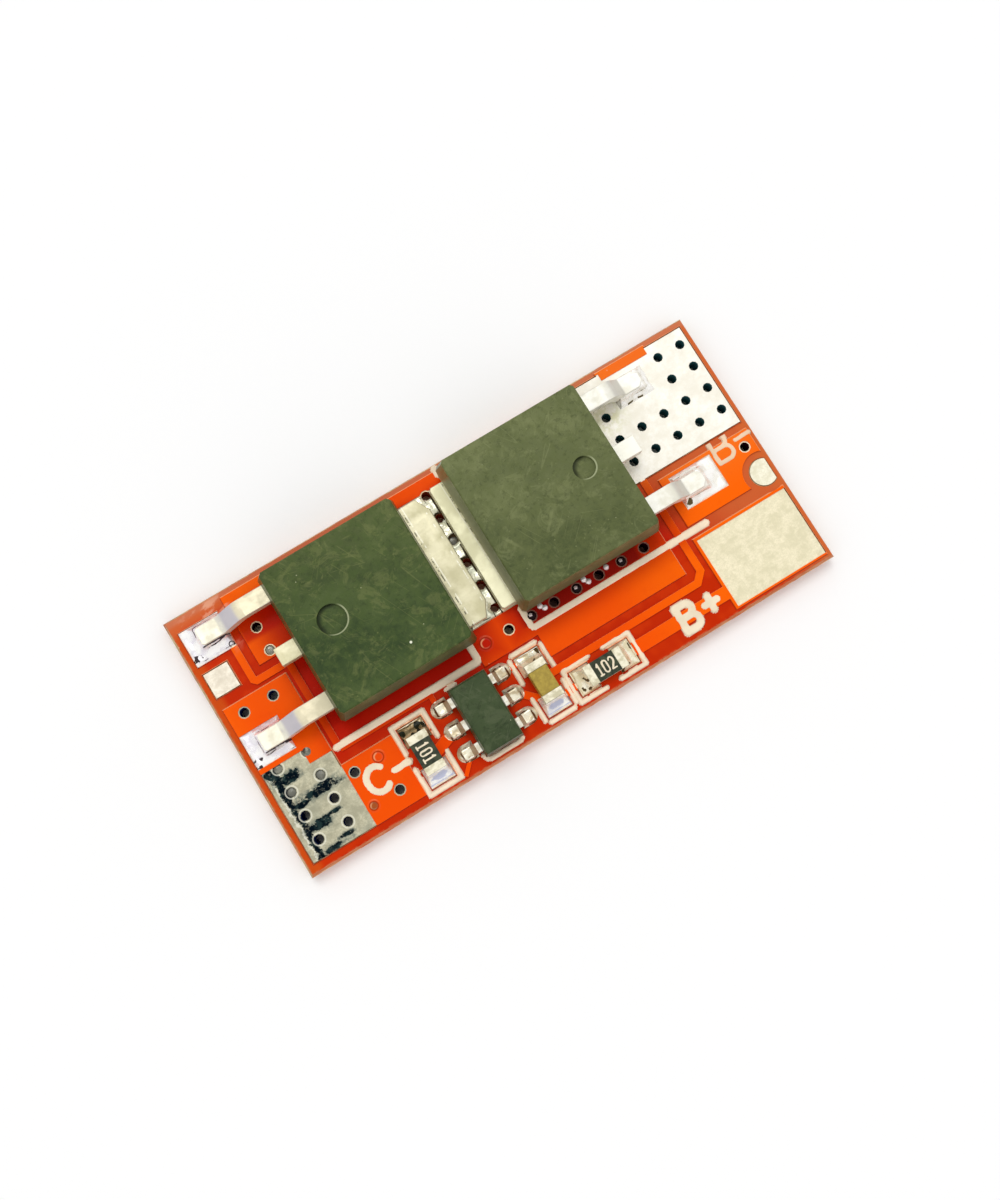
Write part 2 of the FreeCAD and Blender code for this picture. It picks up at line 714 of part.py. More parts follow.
def plug(name, hole, top):
    return drill(name, *hole, "hole_bore / 2", f"{COPPER_TOP} - plug_deep", f"{COPPER_TOP} + {top}")


bright = [plug(f"row_plug_{n}", ROW_HOLES[n], "plug_proud") for n in (1, 3, 5)]
dull_holes = C_HOLES[4:] + EAR_HOLES[:1] + DRAIN_HOLES[3:4]
dull = [plug(f"dull_plug_{n}", hole, "(-plug_sunk)") for n, hole in enumerate(dull_holes)]
via_solder = group("via_solder", bright + dull)


# The mask: a thin sheet raised over the copper, opened over the pads and the open holes

def opening(name, limits):
    return box(name, *limits, LAMINATE_TOP, INK_TOP)


def cleared(limits, sides):
    """Limits with the moat added on the sides named: left, right, front, back."""
    signs = ("-", "+", "-", "+")
    names = ("left", "right", "front", "back")
    return [f"{limit} {sign} pad_moat" if side in sides else limit
            for limit, sign, side in zip(limits, signs, names)]


b_minus_open = cleared((f"{B_MINUS[0]} + pad_lap", *B_MINUS[1:]), ("right", "front", "back"))
b_notch = opening("b_minus_notch", (f"{B_MINUS[0]} + b_notch_in", b_minus_rise[1],
                                    f"{B_MINUS[3]} - b_notch_deep", BACK))
c_minus_open = cleared((*C_MINUS[:3], "c_minus_back"), ("left", "right", "front"))
c_notch = opening("c_minus_notch", ("c_minus_right - c_notch_long", "c_minus_right + pad_moat",
                                    "c_minus_back - c_notch_deep", "c_minus_back"))
b_plus_open = (f"{B_PLUS[0]} + pad_lap", f"{B_PLUS[1]} + pad_moat",
               f"{B_PLUS[2]} + pad_moat", f"{B_PLUS[3]} - pad_lap")
ALL_ROUND = ("left", "right", "front", "back")
SMALL_PADS = [passive_pad(part, along, end) for end in (-1, 1)
              for part, along in (("resistor_a", "y"), ("resistor_b", "x"), ("capacitor", "y"))]
SMALL_PADS += [LEFT_GATE_PAD, SQUARE_PAD]

round_opening = cut(
    "round_opening",
    post("round_open", "round_pad_x", "round_pad_y", "round_pad / 2 + pad_moat", LAMINATE_TOP, INK_TOP),
    [box("round_open_trim", f"{RIGHT} - rim_right + pad_moat", f"{RIGHT} + round_pad",
         "round_pad_y - round_pad", "round_pad_y + round_pad", LAMINATE_TOP, INK_TOP)])

openings = [
    cut("b_minus_opening", opening("b_minus_open", b_minus_open), [b_notch]),
    cut("c_minus_opening", opening("c_minus_open", c_minus_open), [c_notch]),
    opening("b_plus_opening", b_plus_open),
    opening("left_source_opening", cleared(LEFT_SOURCE_PAD, ("left",))),
    opening("right_gate_opening", RIGHT_GATE_PAD),
    opening("drain_opening", DRAIN_LAND),
    round_opening,
]
openings += [opening(f"pad_opening_{n}", cleared(limits, ALL_ROUND))
             for n, limits in enumerate(SMALL_PADS)]
for side in (-1, 1):
    for row in (-1, 0, 1):
        openings += chip_land(f"chip_opening_{side + 1}_{row + 1}", side, row, "pad_moat", INK_TOP)
OPEN_HOLES = C_BLOCK_HOLES + C_WING_HOLES + ROW_HOLES + EAR_HOLES + GATE_HOLE + DRAIN_HOLES[5:]
hole_openings = [drill(f"hole_opening_{n}", x, y, "hole_bore / 2 + ring_wide", LAMINATE_TOP, INK_TOP)
                 for n, (x, y) in enumerate(OPEN_HOLES)]
openings += hole_openings
openings.append(post("round_dip", "round_pad_x", "round_pad_y", "round_pad / 2 + round_moat - mask_thick",
                     f"{LAMINATE_TOP} + mask_thick", INK_TOP))

sheet_over = box("mask_sheet", *FACE, LAMINATE_TOP, f"{LAMINATE_TOP} + mask_thick")
mask_top_opened = cut("mask_top_opened", joined("mask_top_whole", [sheet_over] + MASK_OVER), openings)
mask_top = cut("mask_top", mask_top_opened, COPPERS + dull)
sheet_under = box("mask_under_sheet", *FACE, f"{LAMINATE_FOOT} - mask_thick", LAMINATE_FOOT)
mask_underside = cut("mask_underside", joined("mask_under_whole", [sheet_under] + MASK_UNDER),
                     [copper_b_minus, copper_c_minus, copper_drain, copper_right_gate])


# Printed lines

def ink(name, x0, x1, y0, y1):
    return box(name, x0, x1, y0, y1, f"{LAMINATE_TOP} + mask_thick", INK_TOP)


def ink_line(name, start, end, wide, rounded_ends=()):
    """A printed line along X or Y between two places, with the ends named rounded off."""
    (x0, y0), (x1, y1) = start, end
    half = f"({wide}) / 2"
    if x0 == x1:
        pieces = [ink(name, f"{x0} - {half}", f"{x0} + {half}", y0, y1)]
    else:
        pieces = [ink(name, x0, x1, f"{y0} - {half}", f"{y0} + {half}")]
    for number, (x, y) in enumerate(rounded_ends):
        pieces.append(post(f"{name}_end_{number}", x, y, half, f"{LAMINATE_TOP} + mask_thick", INK_TOP))
    return pieces


def bracket(part, along, nick="0"):
    """A frame printed round a part, broken at its sides' middles and, by the nick, at its corners."""
    end = "(passive_long / 2 + bracket_end)"
    side = "(passive_wide / 2 + bracket_side)"
    half = "ink_fine / 2"
    gap = "bracket_break / 2"
    pieces = []
    for sign in (-1, 1):
        bar = end_limits(part, along, sign, end, half, f"({side} + {half} - {nick})")
        pieces.append(ink(f"{part}_bar_{sign + 1}", *bar))
        for edge in (-1, 1):
            middle = f"({end} - {nick} + {gap}) / 2"
            limits = end_limits(part, along, sign, middle, f"({end} - {nick} - {gap}) / 2", half)
            shift = f" + {edge} * {side}"
            if along == "x":
                limits = (limits[0], limits[1], limits[2] + shift, limits[3] + shift)
            else:
                limits = (limits[0] + shift, limits[1] + shift, limits[2], limits[3])
            pieces.append(ink(f"{part}_side_{sign + 1}_{edge + 1}", *limits))
    return pieces


ink_pieces = ink_line("ink_left_run", ("ink_left", "ink_y"), ("ink_corner_left", "ink_y"), "ink_wide",
                      [("ink_left", "ink_y"), ("ink_corner_left", "ink_y")])
ink_pieces += ink_line("ink_left_rise", ("ink_corner_left", "ink_y"), ("ink_corner_left", "ink_back"),
                       "ink_wide")
ink_pieces += ink_line("ink_right_run", ("ink_corner_right", "ink_y"), ("ink_right", "ink_y"),
                       "ink_wide", [("ink_corner_right", "ink_y"), ("ink_right", "ink_y")])
ink_pieces += ink_line("ink_right_rise", ("ink_corner_right", "ink_y"),
                       ("ink_corner_right", "ink_back"), "ink_wide")
ink_pieces += ink_line("ink_back_tick", ("ink_corner_right", f"{BACK} - ink_tick"),
                       ("ink_corner_right", BACK), "ink_wide")
ink_pieces += bracket("resistor_a", "y") + bracket("resistor_b", "x")
ink_pieces += bracket("capacitor", "y", "bracket_nick")
for number, sign in enumerate((-1, 1)):
    y = f"chip_y + {sign} * chip_ink_y"
    ink_pieces += ink_line(f"ink_chip_{number}", ("chip_x - chip_ink_long / 2", y),
                           ("chip_x + chip_ink_long / 2", y), "ink_fine")
silk_trimmed = cut("silk_trimmed", joined("silk_whole", ink_pieces), hole_openings)
silk_lines = cut("silk_lines", cut("silk_on_copper", silk_trimmed, COPPERS), [mask_top])


# Power packages

def lead_profile(body, half, flat, run, foot, rise, thick, inside):
    """A formed lead's side view: out of the body, down a slope and flat on its pad."""
    mitre = f"{thick} * (sqrt({rise}^2 + {run}^2) - {run}) / {rise}"
    sketch = new_sketch(body, body.Name + "_profile", "XZ_Plane")
    outline(sketch, [
        (f"{half} - {inside}", rise),
        (f"{half} + {flat} - {mitre}", rise),
        (f"{half} + {flat} + {run} - {mitre}", "0"),
        (f"{half} + {flat} + {run} + {foot}", "0"),
        (f"{half} + {flat} + {run} + {foot}", thick),
        (f"{half} + {flat} + {run}", thick),
        (f"{half} + {flat}", f"{rise} + {thick}"),
        (f"{half} - {inside}", f"{rise} + {thick}"),
    ])
    return sketch


def fet_lead(name, x, y, turn, side):
    body = new_body(name, x, y, COPPER_TOP, turn)
    sketch = lead_profile(body, f"{side}_body_long / 2", "lead_flat", f"{side}_run", f"{side}_foot",
                          "lead_rise", "lead_thick", "lead_hold")
    formed = pad(body, sketch, name + "_strip", "lead_wide", side="Symmetric")
    root = value_of(f"{side}_body_long / 2")
    toe = value_of(f"{side}_body_long / 2 + lead_flat + {side}_run + {side}_foot")

    def bends(*levels):
        """A test for the edges across the strip at given heights, between its root and its toe."""
        heights = [value_of(level) for level in levels]

        def test(a, b):
            across = near(a.x, b.x) and near(a.z, b.z) and root < a.x and not near(a.x, toe)
            return across and any(near(a.z, height) for height in heights)

        return test

    inner = rounded(body, formed, name + "_inner_bends", bends("lead_thick", "lead_rise"), "lead_bend")
    outer = rounded(body, inner, name + "_outer_bends", bends("0", "lead_rise + lead_thick"),
                    "lead_bend + lead_thick")

    def corner(a, b):
        return near(a.x, toe) and near(b.x, toe) and not near(a.z, b.z)

    bevelled(body, outer, name + "_toe_corners", corner, f"{side}_toe")
    return body


def drain_frame(name, x, turn, side):
    """The tab and the paddle in one with the cut middle lead."""
    body = new_body(name, x, "fet_y", COPPER_TOP, turn)
    half_body = f"{side}_body_long / 2"
    half_tab = f"{side}_tab_wide / 2"
    end = f"-({half_body} + {side}_tab_long)"
    waist = f"tab_waist_in - {half_body}"
    inner = f"{half_body} - paddle_in"
    plan = new_sketch(body, name + "_plan", "XY_Plane")
    half = [(end, f"{half_tab} - {side}_tab_cut_wide"), (f"{end} + {side}_tab_cut_long", half_tab),
            (waist, half_tab), (waist, "tab_waist / 2"), (inner, "tab_waist / 2")]
    outline(plan, [(px, f"-({py})") for px, py in half] + half[::-1])
    pad(body, plan, name + "_plate", "tab_thick")
    step_side = new_sketch(body, name + "_side", "XZ_Plane")
    outline(step_side, [
        (f"{inner} - lead_thick", "0"), (inner, "0"), (inner, "lead_rise"),
        (f"{half_body} + {side}_stub", "lead_rise"),
        (f"{half_body} + {side}_stub", "lead_rise + lead_thick"),
        (f"{inner} - lead_thick", "lead_rise + lead_thick"),
    ])
    step = pad(body, step_side, name + "_step", "lead_wide", side="Symmetric")
    shoulder = value_of(waist)
    on_top = level("tab_thick")

    def rim(a, b):
        outside = max(a.x, b.x) < shoulder or near(max(a.x, b.x), shoulder)
        return on_top(a, b) and outside and not near(a.x + b.x, 2 * shoulder)

    rounded(body, step, name + "_rim", rim, "tab_round")
    return body


def fet_plastic(name, x, turn, side):
    """The moulded body: drafted up and down from its parting line, with a pin's dimple on top."""
    body = new_body(name, x, f"{side}_body_y", COPPER_TOP, turn)
    upper = new_sketch(body, name + "_upper_plan", "XY_Plane", "parting")
    rectangle(upper, f"{side}_body_long", f"{side}_body_wide")
    pad(body, upper, name + "_upper", "fet_tall - parting",
        "-atan(draft_top / (fet_tall - parting))")
    lower = new_sketch(body, name + "_lower_plan", "XY_Plane", "parting")
    rectangle(lower, f"{side}_body_long", f"{side}_body_wide")
    whole = pad(body, lower, name + "_lower", "parting - standoff",
                "-atan(draft_foot / (parting - standoff))", reverse=True)
    eased = bevelled(body, whole, name + "_corners", lambda a, b: not near(a.z, b.z), "corner_bevel")
    bevelled(body, eased, name + "_crown", level("fet_tall"), "edge_bevel")
    mark = new_sketch(body, name + "_pin_mark", "XY_Plane", "fet_tall")
    circle(mark, f"{side}_dimple_x", f"{side}_dimple_y", f"{side}_dimple_bore")
    pocket(body, mark, name + "_dimple", "dimple_deep")
    return body


def power_package(side, x, turn, gate_y, source_y):
    gate = fet_lead(f"{side}_fet_gate_lead", x, gate_y, turn, side)
    source = fet_lead(f"{side}_fet_source_lead", x, source_y, turn, side)
    drain = drain_frame(f"{side}_fet_drain", x, turn, side)
    plastic = fet_plastic(f"{side}_fet_moulding", x, turn, side)
    body = cut(f"{side}_fet_body", plastic, [gate, source, drain])
    return [body, drain, gate, source]


left_fet = power_package("left", LEFT_FET_X, 180, UPPER_ROW, LOWER_ROW)
right_fet = power_package("right", RIGHT_FET_X, 0, LOWER_ROW, UPPER_ROW)


# Controller chip

def chip():
    body = new_body("chip_moulding", "chip_x", "chip_y", COPPER_TOP)
    upper = new_sketch(body, "chip_upper_plan", "XY_Plane", "chip_parting")
    rectangle(upper, "chip_wide", "chip_long")
    pad(body, upper, "chip_upper", "chip_tall - chip_parting",
        "-atan(chip_draft / (chip_tall - chip_parting))")
    lower = new_sketch(body, "chip_lower_plan", "XY_Plane", "chip_parting")
    rectangle(lower, "chip_wide", "chip_long")
    whole = pad(body, lower, "chip_lower", "chip_parting - chip_lift",
                "-atan(chip_draft / (chip_parting - chip_lift))", reverse=True)

    bevelled(body, whole, "chip_crown", level("chip_tall"), "chip_bevel")
    leads = []
    for turn in (0, 180):
        for row in (-1, 0, 1):
            name = f"chip_lead_{turn}_{row + 1}"
            lead = new_body(name, "chip_x", f"chip_y + {row} * chip_pitch", COPPER_TOP, turn)
            sketch = lead_profile(lead, "chip_wide / 2", "chip_lead_flat", "chip_lead_run",
                                  "chip_lead_foot", "chip_lead_rise", "chip_lead_thick",
                                  "chip_lead_hold")
            pad(lead, sketch, name + "_strip", "chip_lead_wide", side="Symmetric")
            leads.append(lead)
    chip_leads = group("chip_leads", leads)
    return cut("chip_body", body, leads), chip_leads


chip_body, chip_leads = chip()


# Resistors and capacitor

PART_FOOT = f"({COPPER_TOP} + passive_lift)"


def passive(part, along, tall, sides_wrapped):
    """A ceramic block in two end caps; the caps of a capacitor wrap its sides as well."""
    side = "passive_wide / 2 - end_skin" if sides_wrapped else "passive_wide / 2"
    core_limits = end_limits(part, along, 1, "0", "(passive_long / 2 - end_skin)", f"({side})")
    ceramic = box(f"{part}_ceramic", *core_limits, f"{PART_FOOT} + end_skin",
                  f"{PART_FOOT} + {tall} - end_skin")
    ends = [box(f"{part}_end_{end + 1}",
                *end_limits(part, along, end, "(passive_long - end_wrap) / 2", "end_wrap / 2",
                            "passive_wide / 2"), PART_FOOT, f"{PART_FOOT} + {tall}")
            for end in (-1, 1)]
    caps = cut(f"{part}_caps", joined(f"{part}_ends", ends), [ceramic])
    return ceramic, caps


def coat(part, along, tall):
    limits = end_limits(part, along, 1, "0", "(passive_long / 2 - end_wrap)", "passive_wide / 2")
    return box(f"{part}_coat", *limits, f"{PART_FOOT} + {tall} - end_skin", f"{PART_FOOT} + {tall}")


resistor_a = [*passive("resistor_a", "y", "resistor_tall", False),
              coat("resistor_a", "y", "resistor_tall")]
resistor_b = [*passive("resistor_b", "x", "resistor_tall", False),
              coat("resistor_b", "x", "resistor_tall")]
capacitor = passive("capacitor", "y", "capacitor_tall", True)


# Solder

def fillet_limits(x, side, foot, y, heel, toe, across):
    """Limits round a package lead's foot: side is -1 for a foot that points left."""
    ends = [f"{x} - {side} * ({heel})", f"{x} + {side} * ({foot} + {toe})"]
    if side < 0:
        ends.reverse()
    return (*ends, f"{y} - lead_wide / 2 - {across}", f"{y} + lead_wide / 2 + {across}")


def lead_fillet(name, x, side, foot, y):
    low = fillet_limits(x, side, foot, y, "fillet_heel", "fillet_toe", "fillet_side")
    high = fillet_limits(x, side, foot, y, "0", "0.02", "0.02")
    return frustum(name, low, high, COPPER_TOP, f"{COPPER_TOP} + fillet_tall")


FEET = (("left", LEFT_HEEL, -1, "left_foot", left_fet[2:], (UPPER_ROW, LOWER_ROW)),
        ("right", RIGHT_HEEL, 1, "right_foot", right_fet[2:], (LOWER_ROW, UPPER_ROW)))
lead_fillets = []
for side, heel, way, foot, leads, rows in FEET:
    for lead, y in zip(leads, rows):
        name = lead.Name.replace("lead", "fillet")
        lead_fillets.append(cut(name, lead_fillet(name + "_block", heel, way, foot, y), [lead]))
fet_lead_solder = group("fet_lead_solder", lead_fillets)

pool_limits = (f"{LEFT_FET_X} + left_body_long / 2 - tab_waist_in",
               f"{RIGHT_FET_X} - right_body_long / 2 + tab_waist_in", *DRAIN_LAND[2:])
pool = frustum("tab_pool", pool_limits, grown(pool_limits, "-land_side"), COPPER_TOP,
               f"{COPPER_TOP} + pool_tall")
pool_holes = [drill(f"pool_hole_{n}", x, y, "hole_bore / 2", COPPER_TOP, MASK_TOP + " + pool_tall")
              for n, (x, y) in enumerate(DRAIN_HOLES)]
tab_solder = cut("tab_solder", pool, pool_holes + left_fet[:2] + right_fet[:2])


def chip_fillet(side, row):
    x = f"chip_x + {side} * ({CHIP_TOE} + ({{}} - chip_lead_foot) / 2)"
    half = "(chip_lead_foot + {}) / 2"
    y = f"chip_y + chip_pad_shift + {row} * chip_pitch"
    limits = []
    for toe, across in (("chip_fillet_toe", "chip_lead_wide / 2 + chip_fillet_side"),
                        ("0.01", "chip_lead_wide / 2 + 0.01")):
        middle, reach = x.format(toe), half.format(toe)
        limits.append((f"{middle} - {reach}", f"{middle} + {reach}", f"{y} - ({across})",
                       f"{y} + ({across})"))
    name = f"chip_fillet_{side + 1}_{row + 1}"
    return frustum(name, *limits, COPPER_TOP, f"{COPPER_TOP} + chip_fillet_tall")


chip_solder = cut("chip_solder",
                  joined("chip_fillets", [chip_fillet(side, row) for side in (-1, 1)
                                          for row in (-1, 0, 1)]), [chip_leads])


def passive_fillet(part, along, end):
    limits = []
    for toe, across in (("passive_fillet_toe", "passive_fillet_side"), ("0.02", "0.01")):
        limits.append(end_limits(part, along, end, f"(passive_long - end_wrap + {toe}) / 2",
                                 f"(end_wrap + {toe}) / 2", f"(passive_wide / 2 + {across})"))
    return frustum(f"{part}_fillet_{end + 1}", *limits, COPPER_TOP,
                   f"{COPPER_TOP} + passive_fillet_tall")


fillets = [passive_fillet(part, along, end) for end in (-1, 1)
           for part, along in (("resistor_a", "y"), ("resistor_b", "x"), ("capacitor", "y"))]
passive_solder = cut("passive_solder", joined("passive_fillets", fillets),
                     [*resistor_a[:2], *resistor_b[:2], *capacitor])


# Checks and export
NODES = [laminate, *COPPERS, mask_top, mask_underside, silk_lines, *left_fet, *right_fet,
         chip_body, chip_leads, *resistor_a, *resistor_b, *capacitor, fet_lead_solder, tab_solder,
         chip_solder, passive_solder, via_solder]
doc.recompute()
for thing in doc.Objects:
    faults = [state for state in thing.State if "Invalid" in state or "Error" in state]
    if faults:
        raise RuntimeError(f"{thing.Name}: {faults}")
os.makedirs("parts", exist_ok=True)
for node in NODES:
    shape = node.Shape
    if shape.isNull() or not shape.isValid() or not shape.Solids:
        raise RuntimeError(f"{node.Label} has no valid solid")
    shape.exportStep(f"parts/{node.Label}.step")
    print(node.Label, len(shape.Solids), round(shape.Volume, 4))
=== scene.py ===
import math

import bpy
from mathutils import Matrix, Vector, noise


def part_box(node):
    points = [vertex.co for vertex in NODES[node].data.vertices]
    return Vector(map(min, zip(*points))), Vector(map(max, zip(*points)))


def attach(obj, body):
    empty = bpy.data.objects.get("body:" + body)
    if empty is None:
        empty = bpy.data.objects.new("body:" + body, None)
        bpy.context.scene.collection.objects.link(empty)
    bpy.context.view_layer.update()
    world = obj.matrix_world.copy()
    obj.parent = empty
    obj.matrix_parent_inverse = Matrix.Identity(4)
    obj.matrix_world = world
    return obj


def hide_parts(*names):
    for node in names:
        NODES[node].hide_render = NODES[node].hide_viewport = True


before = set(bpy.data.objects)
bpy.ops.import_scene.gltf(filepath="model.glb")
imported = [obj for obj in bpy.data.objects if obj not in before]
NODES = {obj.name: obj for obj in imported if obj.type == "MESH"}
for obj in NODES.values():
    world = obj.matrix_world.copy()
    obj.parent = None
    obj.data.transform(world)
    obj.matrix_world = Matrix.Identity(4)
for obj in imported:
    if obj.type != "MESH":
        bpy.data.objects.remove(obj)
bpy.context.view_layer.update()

MM = 0.001


def limits_of(node):
    """A node's limits in millimetres as x0, x1, y0, y1, z0, z1."""
    low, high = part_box(node)
    return tuple(value / MM for pair in zip(low, high) for value in pair)


def middle_of(node):
    x0, x1, y0, y1 = limits_of(node)[:4]
    return (x0 + x1) / 2, (y0 + y1) / 2


# The board's levels and edges, read from the frame
COPPER_TOP = limits_of("copper_b_plus")[5]
_, HALF_LONG, _, HALF_WIDE, _, MASK_TOP = limits_of("mask_top")
COPPER_THICK = 0.07
BARE_MASK = MASK_TOP - COPPER_THICK
INK_TOP = limits_of("silk_lines")[5]


# Camera, at the photograph's place and angle
CAMERA_PLACE = Vector((-5.87359, -6.43110, 55.80524 + COPPER_TOP + 0.03)) * MM
CAMERA_TURN = Matrix(((0.8515, 0.5149, -0.0991),
                      (-0.5236, 0.84506, -0.10825),
                      (0.0280, 0.14406, 0.98917)))

camera_data = bpy.data.cameras.new("camera")
camera_data.sensor_fit = "VERTICAL"
camera_data.sensor_height = 24.0
camera_data.lens = 30.0
camera_data.clip_start = 0.001
camera_data.clip_end = 5.0
camera = bpy.data.objects.new("camera", camera_data)
camera.matrix_world = Matrix.Translation(CAMERA_PLACE) @ CAMERA_TURN.to_4x4()
bpy.context.scene.collection.objects.link(camera)
bpy.context.scene.camera = camera
bpy.context.scene.view_settings.view_transform = "Standard"


# The key light; the sky does the rest
lamp = bpy.data.lights.new("key", "SUN")
lamp.energy = 0.70
lamp.angle = math.radians(24)
key = bpy.data.objects.new("key", lamp)
key.rotation_euler = Vector((0.02, 0.42, 1.0)).to_track_quat("Z", "Y").to_euler()
bpy.context.scene.collection.objects.link(key)


def as_light(color, share=1.0):
    """A colour that is given as it looks on screen, 0 to 255, as light, or a share of it."""
    def channel(value):
        value = value / 255
        return value / 12.92 if value <= 0.04045 else ((value + 0.055) / 1.055) ** 2.4
    return (*(share * channel(value) for value in color), 1.0)


def feed(tree, value, target):
    """Link a socket to the target, or set a plain value on it."""
    if isinstance(value, bpy.types.NodeSocket):
        tree.links.new(value, target)
    else:
        target.default_value = value


def add_node(tree, kind, inputs=(), **settings):
    """A node, its settings, and what goes into its inputs by their names or numbers."""
    node = tree.nodes.new("ShaderNode" + kind)
    for name, value in settings.items():
        setattr(node, name, value)
    for name, value in dict(inputs).items():
        feed(tree, value, node.inputs[name])
    return node


class Shader:
    """A node material built by short calls; places and sizes are in millimetres."""

    def __init__(self, name):
        self.material = bpy.data.materials.new(name)
        self.material.use_nodes = True
        self.tree = self.material.node_tree
        place = self.node("TexCoord").outputs["Object"]
        scaled = self.node("VectorMath", {0: place, "Scale": 1 / MM}, operation="SCALE")
        self.place = scaled.outputs[0]
        self.x, self.y, self.z = self.split(self.place)
        normal = self.node("NewGeometry").outputs["Normal"]
        self.lean_x, self.lean_y, self.lean_z = self.split(normal)
        self.color = self.bumps = None

    def node(self, kind, inputs=(), **settings):
        return add_node(self.tree, kind, inputs, **settings)

    def split(self, vector):
        return self.node("SeparateXYZ", {0: vector}).outputs[:]

    def attribute(self, name):
        return self.node("Attribute", attribute_name=name).outputs["Fac"]

    def math(self, kind, a, b=0.0, c=0.0):
        return self.node("Math", {0: a, 1: b, 2: c}, operation=kind).outputs[0]

    def plus(self, a, b):
        return self.math("ADD", a, b)

    def minus(self, a, b):
        return self.math("SUBTRACT", a, b)

    def size(self, value):
        return self.math("ABSOLUTE", value)

    def length(self, across, along):
        return self.math("SQRT", self.plus(self.times(across, across), self.times(along, along)))

    def times(self, *values):
        product = values[0]
        for value in values[1:]:
            product = self.math("MULTIPLY", product, value)
        return product

    def most(self, *values):
        highest = values[0]
        for value in values[1:]:
            highest = self.math("MAXIMUM", highest, value)
        return highest

    def inverse(self, value):
        return self.minus(1.0, value)

    def ramp(self, value, low, high):
        """0 below low and 1 above high; low may be the larger."""
        rising = low < high
        inputs = {"Value": value, "From Min": min(low, high), "From Max": max(low, high),
                  "To Min": 0.0 if rising else 1.0, "To Max": 1.0 if rising else 0.0}
        return self.node("MapRange", inputs, interpolation_type="SMOOTHSTEP").outputs["Result"]

    def band(self, value, middle, half):
        """1 at the middle, falling to 0 at half to either side."""
        return self.ramp(self.size(self.minus(value, middle)), half, half * 0.4)

    def off_block(self, x0, x1, y0, y1):
        """Distance in the board's plane outside a rectangle, measured along X or Y."""
        across = self.minus(self.size(self.minus(self.x, (x0 + x1) / 2)), (x1 - x0) / 2)
        along = self.minus(self.size(self.minus(self.y, (y0 + y1) / 2)), (y1 - y0) / 2)
        return self.most(across, along)

    def away(self, x, y):
        """Distance in the board's plane from a place."""
        return self.length(self.minus(self.x, x), self.minus(self.y, y))

    def noise(self, scale, detail=2.0, rough=0.5, stretch=None, distortion=0.0):
        inputs = {"Vector": self.stretched(stretch), "Scale": scale, "Detail": detail,
                  "Roughness": rough, "Distortion": distortion}
        return self.node("TexNoise", inputs).outputs["Fac"]

    def patches(self, low, high, scale, *texture, **more):
        """A noise cut to patches: 0 where it is below low and 1 where it is above high."""
        return self.ramp(self.noise(scale, *texture, **more), low, high)

    def stretched(self, stretch):
        """The place, turned about Z by stretch[3] degrees and scaled by the first three."""
        if stretch is None:
            return self.place
        turned = self.node("Mapping", {"Rotation": (0, 0, math.radians(stretch[3])),
                                       "Vector": self.place}, vector_type="TEXTURE").outputs[0]
        return self.node("VectorMath", {0: turned, 1: stretch[:3]}, operation="MULTIPLY").outputs[0]

    def mix(self, amount, a, b):
        """Two colours mixed; triples are as on screen, sockets and quadruples are light."""
        a, b = (as_light(color) if isinstance(color, tuple) and len(color) == 3 else color
                for color in (a, b))
        return self.node("Mix", {"Factor": amount, 6: a, 7: b}, data_type="RGBA").outputs[2]

    def over(self, color, shade, *amounts):
        """A colour with a shade laid over it as thickly as the amounts' product says."""
        return self.mix(self.times(*amounts), color, shade)

    def paint(self, shade, *amounts):
        """Lay a shade over the material's colour so far."""
        self.color = self.over(self.color, shade, *amounts)

    def blend(self, amount, a, b):
        return self.node("Mix", {"Factor": amount, "A": a, "B": b}).outputs["Result"]

    def specks(self, scale, size, scale_of_patches, share):
        """Small round dots, kept where a broad noise is high."""
        cells = self.node("TexVoronoi", {"Vector": self.place, "Scale": scale}).outputs["Distance"]
        kept = self.patches(share, share + 0.08, scale_of_patches, 1.0)
        return self.times(self.ramp(cells, size, size * 0.5), kept)

    def scratches(self, scale, angle, wide, share):
        """Thin lines along one direction, kept where a broad noise is high."""
        streak = self.noise(scale, 0.0, 0.5, (1.0, 0.06, 1.0, angle), 0.5)
        line = self.ramp(self.size(self.minus(streak, 0.5)), wide, 0.0)
        patches = self.noise(scale * 0.45, 2.0, 0.6, (1, 1, 1, angle))
        return self.times(line, self.ramp(patches, share, share + 0.08))

    def bump(self, height, strength, distance):
        inputs = {"Strength": strength, "Distance": distance * MM, "Height": height}
        if self.bumps is not None:
            inputs["Normal"] = self.bumps
        self.bumps = self.node("Bump", inputs).outputs["Normal"]

    def finish(self, rough, metallic=0.0, specular=0.5):
        surface = self.tree.nodes["Principled BSDF"]
        values = {"Base Color": self.color, "Roughness": rough, "Metallic": metallic,
                  "Specular IOR Level": specular}
        if self.bumps is not None:
            values["Normal"] = self.bumps
        for name, value in values.items():
            feed(self.tree, value, surface.inputs[name])
        return self.material


# World and floor
ZENITH = 1.01
HORIZON = 0.42


def studio():
    """A sky that is brighter overhead and that the camera and glossy rays see as white."""
    world = bpy.data.worlds.new("studio")
    bpy.context.scene.world = world
    world.use_nodes = True
    tree = world.node_tree
    place = add_node(tree, "TexCoord").outputs["Generated"]
    up = add_node(tree, "SeparateXYZ", {0: place}).outputs["Z"]
    level = add_node(tree, "MapRange", {"Value": up, "To Min": HORIZON, "To Max": ZENITH})
    ray = add_node(tree, "LightPath").outputs
    shown = ray["Is Camera Ray"]
    for kind in ("Is Glossy Ray", "Is Transmission Ray"):
        shown = add_node(tree, "Math", {0: shown, 1: ray[kind]}, operation="MAXIMUM").outputs[0]
    seen = add_node(tree, "Mix", {"Factor": shown, "A": level.outputs["Result"], "B": 1.0})
    background = tree.nodes["Background"]
    background.inputs["Color"].default_value = (1, 1, 1, 1)
    feed(tree, seen.outputs["Result"], background.inputs["Strength"])


